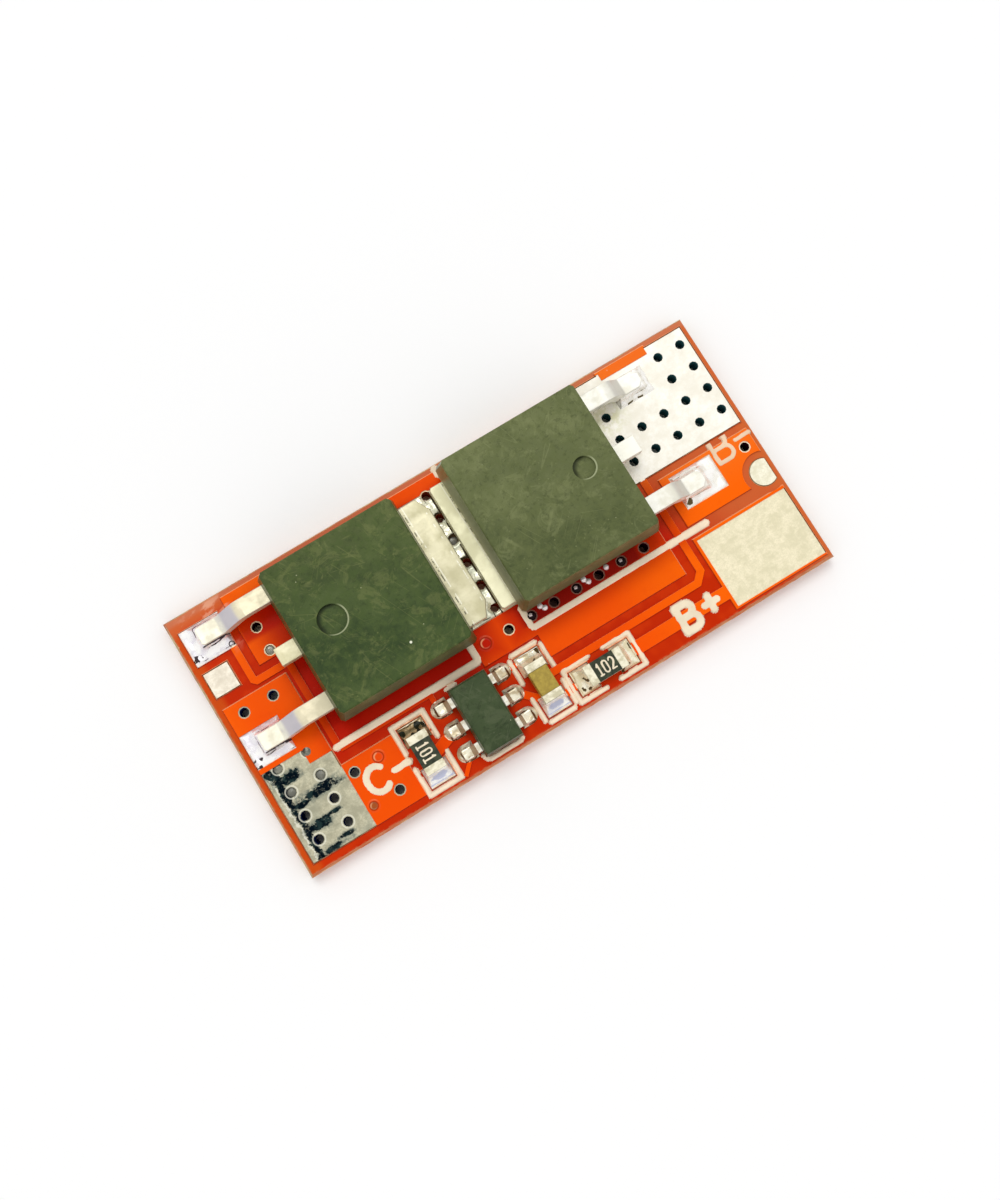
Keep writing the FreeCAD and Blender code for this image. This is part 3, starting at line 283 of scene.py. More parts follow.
def stage_floor():
    """A white sheet under the board, 0.8 m wide."""
    half = 0.4
    mesh = bpy.data.meshes.new("floor")
    mesh.from_pydata([(-half, -half, 0), (half, -half, 0), (half, half, 0), (-half, half, 0)],
                     [], [(0, 1, 2, 3)])
    s = Shader("floor_white")
    s.color = s.mix(s.noise(0.05, 3.0), (0.98, 0.98, 0.978, 1.0), (0.99, 0.99, 0.99, 1.0))
    mesh.materials.append(s.finish(0.85, specular=0.1))
    floor = bpy.data.objects.new("floor", mesh)
    bpy.context.scene.collection.objects.link(floor)


studio()
stage_floor()


# Materials
LEAD_SHADE = (-9.1, -7.6, 3.3, 4.0)
ROW_SHADE = (0.3, 4.9, -1.7, -1.2)


def mask_material():
    """Orange mask: bright over copper, deep red over bare laminate, pale lines on its slopes."""
    s = Shader("mask_orange")
    over_copper = s.most(s.ramp(s.z, BARE_MASK + 0.015, MASK_TOP - 0.02), s.ramp(s.z, 0.06, 0.015))
    fine = s.noise(2.6, 4.0, 0.6)
    bright = s.mix(s.patches(0.35, 0.68, 0.16, 3.0, 0.55), (246, 82, 1), (255, 102, 2))
    bright = s.over(bright, (222, 66, 1), s.ramp(fine, 0.5, 0.8), 0.2)
    weave = s.times(*(s.noise(2.4, 0.0, 0.5, stretch)
                      for stretch in ((1, 0.12, 1, 0), (0.12, 1, 1, 0))))
    deep = s.mix(s.ramp(weave, 0.18, 0.36), (196, 42, 1), (204, 50, 3))
    # Painted shade: a deeper orange across the middle of the board, where the packages stand, than
    # towards its ends
    bright = s.over(bright, (246, 64, 0), s.ramp(s.size(s.minus(s.x, -1.0)), 7.0, 4.0), 0.5)
    # Shade round the packages, under the left one's upper lead and along the row of holes
    near = s.most(*(s.ramp(s.off_block(*limits_of(node)[:4]), 1.5, 0.15)
                    for node in ("left_fet_body", "right_fet_body")))
    near = s.times(near, s.ramp(s.y, 5.0, 4.4))
    bright = s.over(bright, (190, 18, 0), near, 0.8)
    deep = s.over(deep, (186, 4, 4), near, 0.7)
    bright = s.over(bright, (200, 24, 4), s.ramp(s.off_block(*LEAD_SHADE), 0.25, 0.0), 0.8)
    bright = s.over(bright, (136, 10, 8), s.ramp(s.off_block(*ROW_SHADE), 0.5, 0.1),
                    s.ramp(s.y, -1.75, -1.7), 0.85)
    # Pale rims, where the mask thins out; a painted highlight over the upper left corner, and
    # painted sheen from the sky over the right-hand corner
    border = s.ramp(s.most(s.size(s.x), s.plus(s.y, HALF_LONG - HALF_WIDE)),
                    HALF_LONG - 0.62, HALF_LONG - 0.3)
    deep = s.over(deep, (208, 84, 20), border, 0.75)
    deep = s.over(deep, (214, 116, 68), s.ramp(s.x, -8.2, -9.6), s.ramp(s.y, 4.4, 5.1), 0.5)
    painted_sheen = s.ramp(s.math("MULTIPLY_ADD", s.y, 0.6, s.x), 5.0, 8.6)
    deep = s.over(deep, (208, 112, 60), painted_sheen, 0.66)
    bright = s.over(bright, (244, 136, 50), painted_sheen, s.ramp(s.y, -1.6, 1.2), 0.45)
    deep = s.over(deep, (204, 128, 96), s.ramp(s.y, HALF_WIDE - 0.34, HALF_WIDE - 0.12), 0.55)
    s.color = s.mix(over_copper, deep, bright)
    wisps = s.patches(0.52, 0.62, 1.4, 4.0, 0.65, (0.5, 1, 1, 20))
    s.paint((246, 190, 158), wisps, s.band(s.away(-9.9, 4.5), 0.0, 1.6), 0.55)
    # Slopes over the copper's edges, pale towards the light and dark away from it
    leaning = s.times(s.ramp(s.lean_z, 0.985, 0.9), s.ramp(s.z, BARE_MASK - 0.02, BARE_MASK))
    to_light = s.plus(s.times(s.lean_x, 0.55), s.times(s.lean_y, 0.85))
    s.paint((250, 184, 132), leaning, s.ramp(to_light, 0.1, 0.5), 0.8)
    s.paint((120, 16, 4), leaning, s.ramp(to_light, -0.1, -0.5), 0.45)
    edge = s.most(s.ramp(s.size(s.x), HALF_LONG - 0.08, HALF_LONG),
                  s.ramp(s.size(s.y), HALF_WIDE - 0.07, HALF_WIDE))
    chips = s.patches(0.4, 0.6, 4.0, 3.0, 0.7)
    s.paint((206, 122, 78), edge, chips, 0.6)
    s.paint((250, 200, 170), s.specks(1.4, 0.06, 0.9, 0.55), 0.7)
    for x, y, ring, shade in TENTED:
        far = s.away(x, y)
        s.paint(shade, s.ramp(far, ring + 0.02, ring - 0.03), 0.75)
        s.paint((136, 34, 8), s.band(far, ring + 0.01, 0.04), 0.6)
        # A painted highlight on the side of each ring towards the light
        side = s.plus(s.minus(x, s.x), s.times(s.minus(s.y, y), 0.8))
        s.paint((255, 186, 130), s.band(far, ring - 0.04, 0.04), s.ramp(side, 0.04, 0.16), 0.6)
    s.bump(s.noise(0.9, 2.0), 0.25, 0.05)
    s.bump(fine, 0.15, 0.012)
    rough = s.blend(s.patches(0.3, 0.7, 0.6, 3.0), 0.26, 0.38)
    return s.finish(rough, specular=s.blend(leaning, 0.03, 0.4))


def laminate_material():
    """Glass and epoxy: fibre bundles along the snapped edges, mask smeared over them."""
    s = Shader("laminate_edge")
    fibres = s.noise(5.0, 2.0, 0.6, (0.35, 0.35, 4.0, 0))
    s.color = s.mix(s.ramp(fibres, 0.35, 0.65), (158, 126, 80), (222, 196, 152))
    s.paint((188, 84, 38), s.patches(0.4, 0.6, 1.4, 4.0, 0.65), 0.7)
    s.paint((214, 96, 34), s.ramp(s.lean_y, -0.5, -0.9), 0.62)
    s.paint((232, 214, 176), s.band(s.z, 0.5, 0.22), s.patches(0.4, 0.6, 2.0, 3.0))
    s.bump(fibres, 0.5, 0.04)
    s.bump(s.noise(9.0, 3.0), 0.4, 0.02)
    return s.finish(0.75, specular=0.3)


HOLE_SHADE = (64, 12, 34)
TIN_METALLIC = 0.3


def tin_material(name, light, dark, mottle, hollow=HOLE_SHADE, stains=False, rings=(),
                 far_hollow=None, tinge=None):
    """Levelled tin on copper: mottled, grained, with painted shade inside its holes."""
    s = Shader(name)
    patches = s.patches(0.36, 0.64, mottle, 5.0, 0.75)
    s.color = s.mix(patches, dark, light)
    s.paint(dark, s.patches(0.42, 0.62, mottle * 6.0, 3.0, 0.7), 0.6)
    s.paint(light, s.specks(mottle * 3.0, 0.16, mottle, 0.5), 0.5)
    if stains:
        burnt = stained(s)
    if tinge:
        s.paint((206, 204, 148), s.ramp(s.away(*tinge), 1.1, 0.2),
                s.patches(0.4, 0.6, 3.0, 4.0, 0.7), 0.6)
    # Painted highlights: pale rings round the holes
    for x, y in rings:
        s.paint((226, 224, 206), s.band(s.away(x, y), 0.235, 0.035), 0.6)
    if far_hollow:
        # The gap's holes get a brown painted shade, and the front row's rings lie in a painted
        # shadow of the right package
        gap = s.times(s.ramp(s.size(s.plus(s.x, 0.6)), 0.5, 0.4), s.ramp(s.y, -0.9, -0.75))
        hollow = s.mix(gap, hollow, far_hollow)
        s.paint((112, 18, 12), s.ramp(s.y, -1.0, -1.15), s.ramp(s.x, 0.0, 0.2), 0.85)
    # Painted shade inside the holes, with a faint painted glint
    bore = s.ramp(s.z, COPPER_TOP - 0.012, COPPER_TOP - 0.05)
    inside = s.times(bore, s.ramp(s.z, COPPER_THICK, COPPER_THICK + 0.08))
    glint = s.patches(0.56, 0.76, 5.0, 1.0)
    s.paint(s.over(hollow, (150, 140, 130), glint, 0.03), inside)
    s.bump(s.noise(mottle * 2.0, 3.0), 0.35, 0.04)
    s.bump(s.noise(12.0, 2.0), 0.25, 0.01)
    outside = s.times(s.inverse(inside), s.inverse(burnt)) if stains else s.inverse(inside)
    return s.finish(s.blend(patches, 0.56, 0.4), s.times(outside, TIN_METALLIC),
                    s.times(outside, 0.5))


# Blotches on the C pad, as middle x, middle y, half length and half width in millimetres
BLOTCHES = ((-10.5, -1.86, 0.5, 0.17), (-10.35, -2.02, 0.34, 0.1), (-9.75, -2.9, 0.72, 0.17),
            (-10.35, -3.0, 0.42, 0.12), (-9.35, -2.72, 0.36, 0.1), (-10.3, -3.98, 0.46, 0.15),
            (-10.1, -3.86, 0.3, 0.12), (-9.6, -3.82, 0.3, 0.07), (-10.25, -4.95, 0.5, 0.1),
            (-9.7, -4.78, 0.3, 0.08), (-11.0, -1.5, 0.14, 0.2))
BURN_LINE = -10.82


def stained(s):
    """Burnt flux: a wandering line down the pad's outer edge and blotches across its rows."""
    ragged = s.minus(s.noise(2.8, 5.0, 0.72), 0.5)
    wander = s.plus(s.times(ragged, 0.75), s.times(s.ramp(s.y, -2.4, -4.6), -0.03))
    off_line = s.minus(s.plus(s.x, wander), BURN_LINE)
    line = s.times(s.ramp(s.size(off_line), 0.16, 0.09), s.ramp(s.y, -1.3, -1.45))
    total = s.times(line, s.patches(0.24, 0.34, 6.0, 2.0, 0.7))
    smear = total
    for middle_x, middle_y, long, wide in BLOTCHES:
        across = s.math("DIVIDE", s.minus(s.x, middle_x), long)
        along = s.math("DIVIDE", s.minus(s.y, middle_y), wide)
        uneven = s.plus(s.length(across, along), s.times(ragged, 3.0))
        total = s.most(total, s.ramp(uneven, 1.1, 0.9))
        smear = s.most(smear, s.ramp(uneven, 1.9, 0.9))
    grit = s.patches(0.34, 0.44, 9.0, 4.0, 0.75)
    total = s.times(total, s.math("MULTIPLY_ADD", grit, 0.45, 0.55))
    soot = s.mix(s.patches(0.46, 0.62, 3.4, 3.0, 0.6), (6, 18, 26), (34, 52, 52))
    s.paint((236, 236, 222), s.band(off_line, -0.19, 0.05), s.ramp(s.y, -1.3, -1.5), 0.5)
    s.paint((74, 88, 80), smear, s.patches(0.4, 0.5, 7.0, 3.0, 0.7), 0.8)
    s.paint((140, 142, 122), s.patches(0.48, 0.64, 1.1, 4.0, 0.65), 0.4)
    s.paint(soot, total)
    return total


def ink_material(name, color):
    """Printed ink, pitted, with the mask's red in the shade of its edges."""
    s = Shader(name)
    patches = s.patches(0.35, 0.7, 1.2, 3.0, 0.6)
    s.color = s.mix(patches, color, tuple(value * 0.95 for value in color))
    s.paint((232, 160, 122), s.patches(0.66, 0.76, 8.0, 2.0, 0.6), 0.4)
    s.paint((170, 60, 26), s.ramp(s.lean_z, 0.72, 0.4), 0.5)
    s.bump(s.noise(6.0, 3.0), 0.4, 0.02)
    return s.finish(0.6, specular=0.2)


def moulding_material(name, dark, light, rub_and_sheen, node, dimple=None, fleck=None, sheen=None):
    """Moulding compound: mottled and scratched on top, smoother on its drafted walls."""
    s = Shader(name)
    crown = limits_of(node)[5]
    s.color = s.mix(s.patches(0.36, 0.64, 0.5, 5.0, 0.62), dark, light)
    # Painted sheen: lighter towards +y and a little towards +x
    s.paint(rub_and_sheen, s.ramp(s.plus(s.times(s.x, 0.35), s.y), -1.0, 5.5), 0.35)
    grain = s.patches(0.4, 0.62, 3.6, 5.0, 0.72)
    s.paint(light, grain, 0.6)
    s.paint(rub_and_sheen, s.patches(0.5, 0.62, 1.3, 5.0, 0.75, distortion=1.0), 0.3)
    s.paint(as_light(dark, 0.55), s.patches(0.5, 0.68, 4.5, 5.0, 0.78), 0.4)
    s.paint(rub_and_sheen, s.specks(3.4, 0.13, 1.6, 0.48), 0.45)
    s.paint((176, 178, 140), s.specks(1.5, 0.045, 1.0, 0.46), 0.7)
    for scale, angle, wide, share in ((1.7, 28, 0.014, 0.5), (2.3, -44, 0.012, 0.52),
                                      (1.4, 74, 0.01, 0.54)):
        mark = s.scratches(scale, angle, wide, share)
        s.paint(rub_and_sheen, mark, 0.34)
        s.bump(mark, 0.25, -0.008)
    if dimple:
        x, y, radius = dimple
        far = s.away(x, y)
        side = s.plus(s.minus(s.x, x), s.minus(y, s.y))
        # A painted highlight on the dimple's lower right rim and painted shade inside its upper
        # left
        s.paint((172, 178, 140), s.band(far, radius + 0.01, 0.04), s.ramp(side, -0.1, 0.4), 0.75)
        s.paint(as_light(dark, 0.3), s.ramp(far, radius - 0.2, radius - 0.04),
                s.ramp(far, radius + 0.02, radius), s.ramp(side, 0.1, -0.4), 0.85)
    if fleck:
        s.paint((236, 238, 214), s.ramp(s.away(*fleck), 0.06, 0.035))
    wall = s.ramp(s.lean_z, 0.75, 0.5)
    # A pale band along the walls' top edge: rubbed wear and a painted edge highlight
    s.paint(rub_and_sheen, s.band(s.z, crown - 0.01, 0.06), s.patches(0.42, 0.6, 2.2, 3.0, 0.7), wall, 0.3)
    # Painted shade: the walls darker towards the board
    s.paint(dark, s.ramp(s.z, crown - 0.35, crown - 0.9), 0.6)
    if sheen:
        low = s.ramp(s.z, crown - 0.2, crown - 2.0)
        streaks = s.patches(0.3, 0.6, 2.0, 3.0, 0.6, (1, 0.3, 1, 0))
        low = s.times(low, s.math("MULTIPLY_ADD", streaks, 0.4, 0.5))
        s.paint(sheen, s.ramp(s.lean_x, -0.6, -0.8), low)
    s.bump(s.noise(7.0, 4.0, 0.7), 0.35, 0.014)
    rough = s.blend(wall, s.blend(grain, 0.5, 0.62), 0.34)
    return s.finish(rough, specular=s.blend(wall, 0.14, 0.18))


def plated_material(name, light, dark, bend_shade, scale=1.6, lines=(), bright_stub=False,
                    bright_foot=None):
    """Matt tin on a stamped and formed lead, with painted shade on its bends; lines are marks along
    Y, dark grooves and pale painted highlights.
    """
    s = Shader(name)
    patches = s.patches(0.4, 0.64, scale, 4.0, 0.62)
    s.color = s.mix(patches, light, dark)
    brushed = s.noise(7.0, 2.0, 0.5, (0.18, 1.0, 1.0, 0))
    s.paint(dark, s.ramp(brushed, 0.5, 0.75), 0.3)
    s.paint(dark, s.scratches(1.8, 60, 0.014, 0.52), 0.5)
    # Painted shade on the bends
    s.paint(bend_shade, s.ramp(s.lean_z, 0.96, 0.8), s.ramp(s.lean_z, 0.12, 0.3), 0.85)
    if bright_foot:
        low = s.ramp(s.z, COPPER_TOP + 0.75, COPPER_TOP + 0.6)
        s.paint(bright_foot, low, s.math("MULTIPLY_ADD", patches, -0.4, 0.9))
    if bright_stub:
        s.paint((250, 248, 238), s.ramp(s.x, 5.0, 6.0), 0.85)
    for x, tilt, dots, shade in lines:
        off = s.minus(s.math("MULTIPLY_ADD", s.y, tilt, s.x), x)
        broken = s.patches(dots, dots + 0.05, 3.2, 3.0, 0.8, (0.4, 1, 1, 0))
        s.paint(shade, s.band(off, 0.0, 0.03), broken, 0.85)
    s.bump(brushed, 0.25, 0.01)
    s.bump(s.noise(3.0, 3.0), 0.3, 0.03)
    return s.finish(s.blend(patches, 0.36, 0.52), TIN_METALLIC)


def solder_material(name, light, dull, overlay, metallic=0.45):
    """Frozen solder: bright swells and dull hollows, with an overlay where the piece marks it:
    grime on most pieces, painted shade, shadow and reflection on some.
    """
    s = Shader(name)
    swell = s.patches(0.38, 0.6, 2.6, 3.0, 0.6)
    s.color = s.mix(swell, dull, light)
    overlay_amount = s.attribute("overlay")
    ragged = s.times(s.minus(s.noise(7.0, 4.0, 0.7), 0.5), 0.9)
    marked = s.ramp(s.plus(overlay_amount, s.times(ragged, s.ramp(overlay_amount, 0.0, 0.3))), 0.35, 0.6)
    s.paint(overlay, marked)
    s.bump(s.noise(2.8, 3.0, 0.6), 0.4, 0.07)
    s.bump(s.noise(9.0, 2.0), 0.2, 0.01)
    unmarked = s.inverse(marked)
    return s.finish(s.blend(swell, 0.34, 0.2), s.times(unmarked, metallic),
                    s.math("MULTIPLY_ADD", unmarked, 0.4, 0.08))


def ceramic_material(name, light, dark):
    s = Shader(name)
    grain = s.patches(0.35, 0.65, 6.0, 4.0, 0.6)
    s.color = s.mix(grain, dark, light)
    s.paint(dark, s.patches(0.4, 0.6, 1.6, 3.0, 0.6), 0.4)
    s.bump(s.noise(14.0, 2.0), 0.25, 0.008)
    return s.finish(s.blend(grain, 0.42, 0.55), specular=0.3)


def coat_material():
    s = Shader("resistor_glaze")
    grain = s.patches(0.35, 0.68, 5.0, 4.0, 0.65)
    s.color = s.mix(grain, (30, 38, 22), (62, 70, 44))
    s.bump(s.noise(8.0, 3.0), 0.3, 0.01)
    return s.finish(s.blend(grain, 0.28, 0.42), specular=0.25)


# Covered holes, as x, y, the radius of their ring and the colour inside it
TENTED = ((-7.2, -2.97, 0.19, (240, 74, 8)), (-1.6, -1.45, 0.21, (196, 22, 2)),
          (-8.25, -4.43, 0.15, (128, 84, 44)))
# Holes of the C pad; the last four are filled
C_HOLES = tuple((-10.58 + column * 1.23, -4.42 + row) for row in (0, 1, 2, 3) for column in (0, 1))
# The packages' dimples, as x, y and radius
LEFT_DIMPLE = (-6.01, 1.97, 0.56)
RIGHT_DIMPLE = (4.72, 2.0, 0.43)

MASK = mask_material()
INK = ink_material("ink_cream", (255, 234, 205))
LETTER_INK = ink_material("ink_letters", (250, 234, 204))
PINK_INK = ink_material("ink_faded", (246, 214, 180))
LEFT_LEAD_TIN = plated_material("left_lead_tin", (232, 222, 190), (212, 203, 172),
                                (190, 186, 198), bright_foot=(244, 241, 222))
RIGHT_LEAD_TIN = plated_material("right_lead_tin", (246, 244, 234), (233, 230, 214),
                                 (204, 200, 190))
# On the tabs, the pale lines are painted highlights and the dark ones are grooves
LEFT_TAB_TIN = plated_material(
    "left_tab_tin", (230, 223, 187), (214, 207, 166), (196, 188, 160), 0.9,
    lines=((-1.69, 0.012, 0.5, (40, 44, 24)), (-1.62, 0.012, 0.42, (252, 248, 226)),
           (-0.9, 0.015, 0.5, (252, 248, 230))))
RIGHT_TAB_TIN = plated_material(
    "right_tab_tin", (246, 242, 204), (230, 226, 186), (196, 188, 156), 0.9,
    lines=((0.14, 0.02, 0.3, (250, 246, 220)), (0.2, 0.02, 0.48, (70, 70, 44))),
    bright_stub=True)
END_TIN = plated_material("end_tin", (238, 232, 206), (200, 192, 160), (150, 140, 116), 3.2)
CHIP_TIN = plated_material("chip_tin", (248, 244, 230), (220, 210, 184), (150, 112, 70), 4.0)
# Solders, each with its light and dull colours, its overlay colour and how metallic it is; the
# overlay is grime, with painted shadow in the left pools, painted shade on the domes and a painted
# reflection in the bluish pools
SOLDERS = {name: solder_material("solder_" + name, *look) for name, *look in (
    ("left", (253, 251, 248), (230, 226, 232), (62, 52, 56)),
    ("right", (254, 252, 248), (238, 234, 224), (96, 84, 52)),
    ("smoked", (198, 180, 140), (120, 96, 58), (34, 36, 22)),
    ("bluish", (252, 250, 242), (226, 224, 226), (196, 199, 220)),
    ("pale", (250, 244, 220), (224, 212, 176), (84, 66, 36)),
    ("chip", (246, 240, 216), (196, 180, 146), (92, 52, 20)),
    ("gap", (240, 236, 210), (206, 208, 186), (58, 44, 22)),
    ("beads", (250, 240, 238), (206, 180, 180), (26, 8, 12), 0.4),
    ("dull", (140, 138, 122), (100, 100, 90), (60, 58, 50), 0.15),
)}
FINISHES = {
    "laminate": laminate_material(),
    "copper_b_minus": tin_material("tin_bright", (247, 244, 234), (238, 233, 218), 1.1,
                                   (64, 116, 120), tinge=(6.95, 3.6)),
    "copper_b_plus": tin_material("tin_mottled", (240, 230, 198), (220, 212, 178), 2.6),
    "copper_drain": tin_material("tin_drain", (246, 226, 190), (222, 194, 152), 4.0,
                                 far_hollow=(176, 78, 44)),
    "copper_c_minus": tin_material("tin_stained", (194, 189, 160), (164, 160, 134), 2.4,
                                   (40, 60, 128), stains=True, rings=C_HOLES),
    "copper_square_pad": tin_material("tin_square", (240, 232, 214), (222, 212, 192), 2.2),
    "copper_round_pad": tin_material("tin_round", (246, 242, 220), (226, 220, 192), 2.4),
    "left_fet_body": moulding_material(
        "moulding_left", (48, 66, 30), (74, 90, 46), (122, 128, 76), "left_fet_body", LEFT_DIMPLE,
        fleck=(-4.04, -0.21)),
    "right_fet_body": moulding_material(
        "moulding_right", (70, 80, 42), (96, 104, 62), (134, 140, 94), "right_fet_body",
        RIGHT_DIMPLE, sheen=(176, 172, 128)),
    "chip_body": moulding_material(
        "moulding_chip", (42, 56, 30), (64, 78, 48), (96, 104, 76), "chip_body"),
    "chip_leads": CHIP_TIN,
    "left_fet_drain": LEFT_TAB_TIN,
    "right_fet_drain": RIGHT_TAB_TIN,
    "capacitor_ceramic": ceramic_material("ochre_ceramic", (184, 160, 66), (158, 134, 48)),
}
for finish, *names in (
        (MASK, "mask_top", "mask_underside"),
        (LEFT_LEAD_TIN, "left_fet_gate_lead", "left_fet_source_lead"),
        (RIGHT_LEAD_TIN, "right_fet_gate_lead", "right_fet_source_lead"),
        (END_TIN, "resistor_a_caps", "resistor_b_caps", "capacitor_caps"),
        (ceramic_material("alumina", (222, 212, 186), (200, 188, 158)),
         "resistor_a_ceramic", "resistor_b_ceramic"),
        (coat_material(), "resistor_a_coat", "resistor_b_coat")):
    FINISHES.update(dict.fromkeys(names, finish))
SMALL_TIN = tin_material("tin_small", (250, 236, 210), (234, 214, 180), 4.0)
for name, node in NODES.items():
    for place in node.material_slots:
        place.material = FINISHES.get(name, SMALL_TIN)


# Edges that catch the light
def eased(name, width, segments=2):
    """A small round, in millimetres, on a CAD node's sharp edges, by modifiers only."""
    node = NODES[name]
    weld = node.modifiers.new("weld", "WELD")
    weld.merge_threshold = 1e-6
    flat = node.modifiers.new("flat", "DECIMATE")
    flat.decimate_type = "DISSOLVE"
    flat.angle_limit = math.radians(2)
    bevel = node.modifiers.new("ease", "BEVEL")
    bevel.width = width * MM
    bevel.segments = segments
    bevel.limit_method = "ANGLE"
    bevel.angle_limit = math.radians(25)


for name in ("left_fet_body", "right_fet_body", "chip_body", "chip_leads", "resistor_a_caps",
             "resistor_b_caps"):
    eased(name, 0.02)
for name in ("left_fet_gate_lead", "left_fet_source_lead", "right_fet_gate_lead",
             "right_fet_source_lead", "left_fet_drain", "right_fet_drain"):
    eased(name, 0.03)
for name in ("capacitor_caps", "capacitor_ceramic"):
    eased(name, 0.03, 3)
eased("mask_top", 0.018, 1)


# Modelled pieces
def add_piece(name, surface, material, replaces=(), overlay=None):
    """One piece of the scene, smooth, marked with its overlay and riding with the board; the
    overlay is grime, and on some pieces painted shade, shadow and reflection.
    """
    vertices, faces = surface
    mesh = bpy.data.meshes.new(name)
    mesh.from_pydata([Vector(vertex) * MM for vertex in vertices], [], faces)
    mesh.materials.append(material)
    mesh.polygons.foreach_set("use_smooth", [True] * len(mesh.polygons))
    if overlay:
        marks = mesh.attributes.new("overlay", "FLOAT", "POINT")
        marks.data.foreach_set("value", [overlay(x, y) for x, y, z in vertices])
    mesh.update()
    piece = bpy.data.objects.new(name, mesh)
    bpy.context.scene.collection.objects.link(piece)
    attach(piece, "root")
    if replaces:
        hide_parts(*replaces)


def relief(limits, step, height, keep):
    """Vertices and faces of a surface z = height(x, y) over the cells where keep(x, y) holds."""
    x0, x1, y0, y1 = limits
    columns = max(2, round((x1 - x0) / step))
    rows = max(2, round((y1 - y0) / step))
    vertices, faces, index = [], [], {}

    def place(column, row):
        return x0 + (x1 - x0) * column / columns, y0 + (y1 - y0) * row / rows

    def vertex(column, row):
        if (column, row) not in index:
            x, y = place(column, row)
            index[column, row] = len(vertices)
            vertices.append((x, y, height(x, y)))
        return index[column, row]

    for column in range(columns):
        for row in range(rows):
            if keep(*place(column + 0.5, row + 0.5)):
                faces.append((vertex(column, row), vertex(column + 1, row),
                              vertex(column + 1, row + 1), vertex(column, row + 1)))
    return vertices, faces


def grown(x0, x1, y0, y1, room):
    return x0 - room, x1 + room, y0 - room, y1 + room


def gather(surfaces):
    """Several surfaces as one."""
    vertices, faces = [], []
    for part_vertices, part_faces in surfaces:
        first = len(vertices)
        vertices += part_vertices
        faces += [tuple(first + number for number in face) for face in part_faces]
    return vertices, faces


def to_segment(x, y, start, end):
    """Distance from a place to a straight stretch."""
    dx, dy = end[0] - start[0], end[1] - start[1]
    along = ((x - start[0]) * dx + (y - start[1]) * dy) / (dx * dx + dy * dy)
    along = min(max(along, 0.0), 1.0)
    return math.hypot(x - start[0] - along * dx, y - start[1] - along * dy)


def apart(x, y, place):
    return math.hypot(x - place[0], y - place[1])


def wobble(x, y, scale, seed):
    """Smooth noise over the board, from about -1 to 1."""
    return noise.noise(Vector((x * scale, y * scale, seed)))


# Printed ink
INK_FALL = 0.03


def strokes(lines, wide, step, seed, top=INK_TOP, drop=0.09, keep=None):
    """Printed lines through points: flat on top, with a soft uneven edge that drops away."""
    half = wide / 2
    reach = half + INK_FALL
    xs = [x for line in lines for x, y in line]
    ys = [y for line in lines for x, y in line]
    limits = grown(min(xs), max(xs), min(ys), max(ys), reach)
    pairs = [pair for line in lines for pair in zip(line, line[1:])]

    def away(x, y):
        near = min(to_segment(x, y, start, end) for start, end in pairs)
        return near + 0.016 * wobble(x, y, 4.0, seed)

    def height(x, y):
        past = min(max((away(x, y) - half) / INK_FALL + 0.5, 0.0), 1.0)
        return top - drop * past * past * (3 - 2 * past)

    def inside(x, y):
        return away(x, y) < reach and (keep is None or keep(x, y))

    return relief(limits, step, height, inside)


def arc(x, y, radius, start, end, steps, stretch=1.0):
    """Points round a centre, from start to end in degrees."""
    angles = [math.radians(start + (end - start) * number / steps) for number in range(steps + 1)]
    return [(x + radius * math.cos(angle), y + radius * stretch * math.sin(angle))
            for angle in angles]


LINE_WIDE, LINE_FINE = 0.26, 0.155
LEFT_TURN, RIGHT_TURN = -2.16, 0.21


def front_line(start, turn, side):
    """A line along the packages' front that turns back round a small corner."""
    return [(start, -1.87), (turn + side * 0.08, -1.87), (turn + side * 0.02, -1.85),
            (turn, -1.78), (turn, -1.0)]


LINES = (front_line(-8.32, LEFT_TURN, -1), front_line(7.97, RIGHT_TURN, 1),
         [(RIGHT_TURN, HALF_WIDE - 0.42), (RIGHT_TURN, HALF_WIDE - 0.14)])
# Room from a part's ends and sides to its frame, the frame's gap and its cut corners
BRACKET_END, BRACKET_SIDE, BRACKET_BREAK, BRACKET_NICK = 0.64, 0.27, 0.65, 0.16


def bracket(node, along_x, nick=0.0):
    """The frame printed round a part, open at its sides' middles and by the nick at its corners."""
    x0, x1, y0, y1 = limits_of(node)[:4]
    middle = middle_of(node)
    half_long = max(x1 - x0, y1 - y0) / 2 + BRACKET_END
    half_wide = min(x1 - x0, y1 - y0) / 2 + BRACKET_SIDE
    lines = []
    for sign in (-1, 1):
        end = sign * half_long
        arm = sign * (half_long - nick)
        gap = sign * BRACKET_BREAK / 2
        left, right = [(-half_wide, gap), (-half_wide, arm)], [(half_wide, arm), (half_wide, gap)]
        bar = [(-half_wide + nick, end), (half_wide - nick, end)]
        for points in ([left, bar, right] if nick else [left + right]):
            if along_x:
                points = [(y, x) for x, y in points]
            lines.append([(middle[0] + x, middle[1] + y) for x, y in points])
    return lines


CHIP_LIMITS = limits_of("chip_body")
CHIP_X, CHIP_Y = middle_of("chip_body")
FINE_LINES = (bracket("resistor_a_caps", False) + bracket("resistor_b_caps", True)
              + bracket("capacitor_caps", False, BRACKET_NICK))
FINE_LINES += [
    [(CHIP_X - 0.75, CHIP_LIMITS[3] + 0.1), (CHIP_X - 0.4, CHIP_LIMITS[3] + 0.12)],
    [(CHIP_X - 0.85, CHIP_LIMITS[2] + 0.15), (CHIP_X - 0.76, CHIP_LIMITS[2] - 0.04),
     (CHIP_X - 0.66, CHIP_LIMITS[2] - 0.1), (CHIP_X + 0.64, CHIP_LIMITS[2] - 0.1),
     (CHIP_X + 0.72, CHIP_LIMITS[2] - 0.04)]]

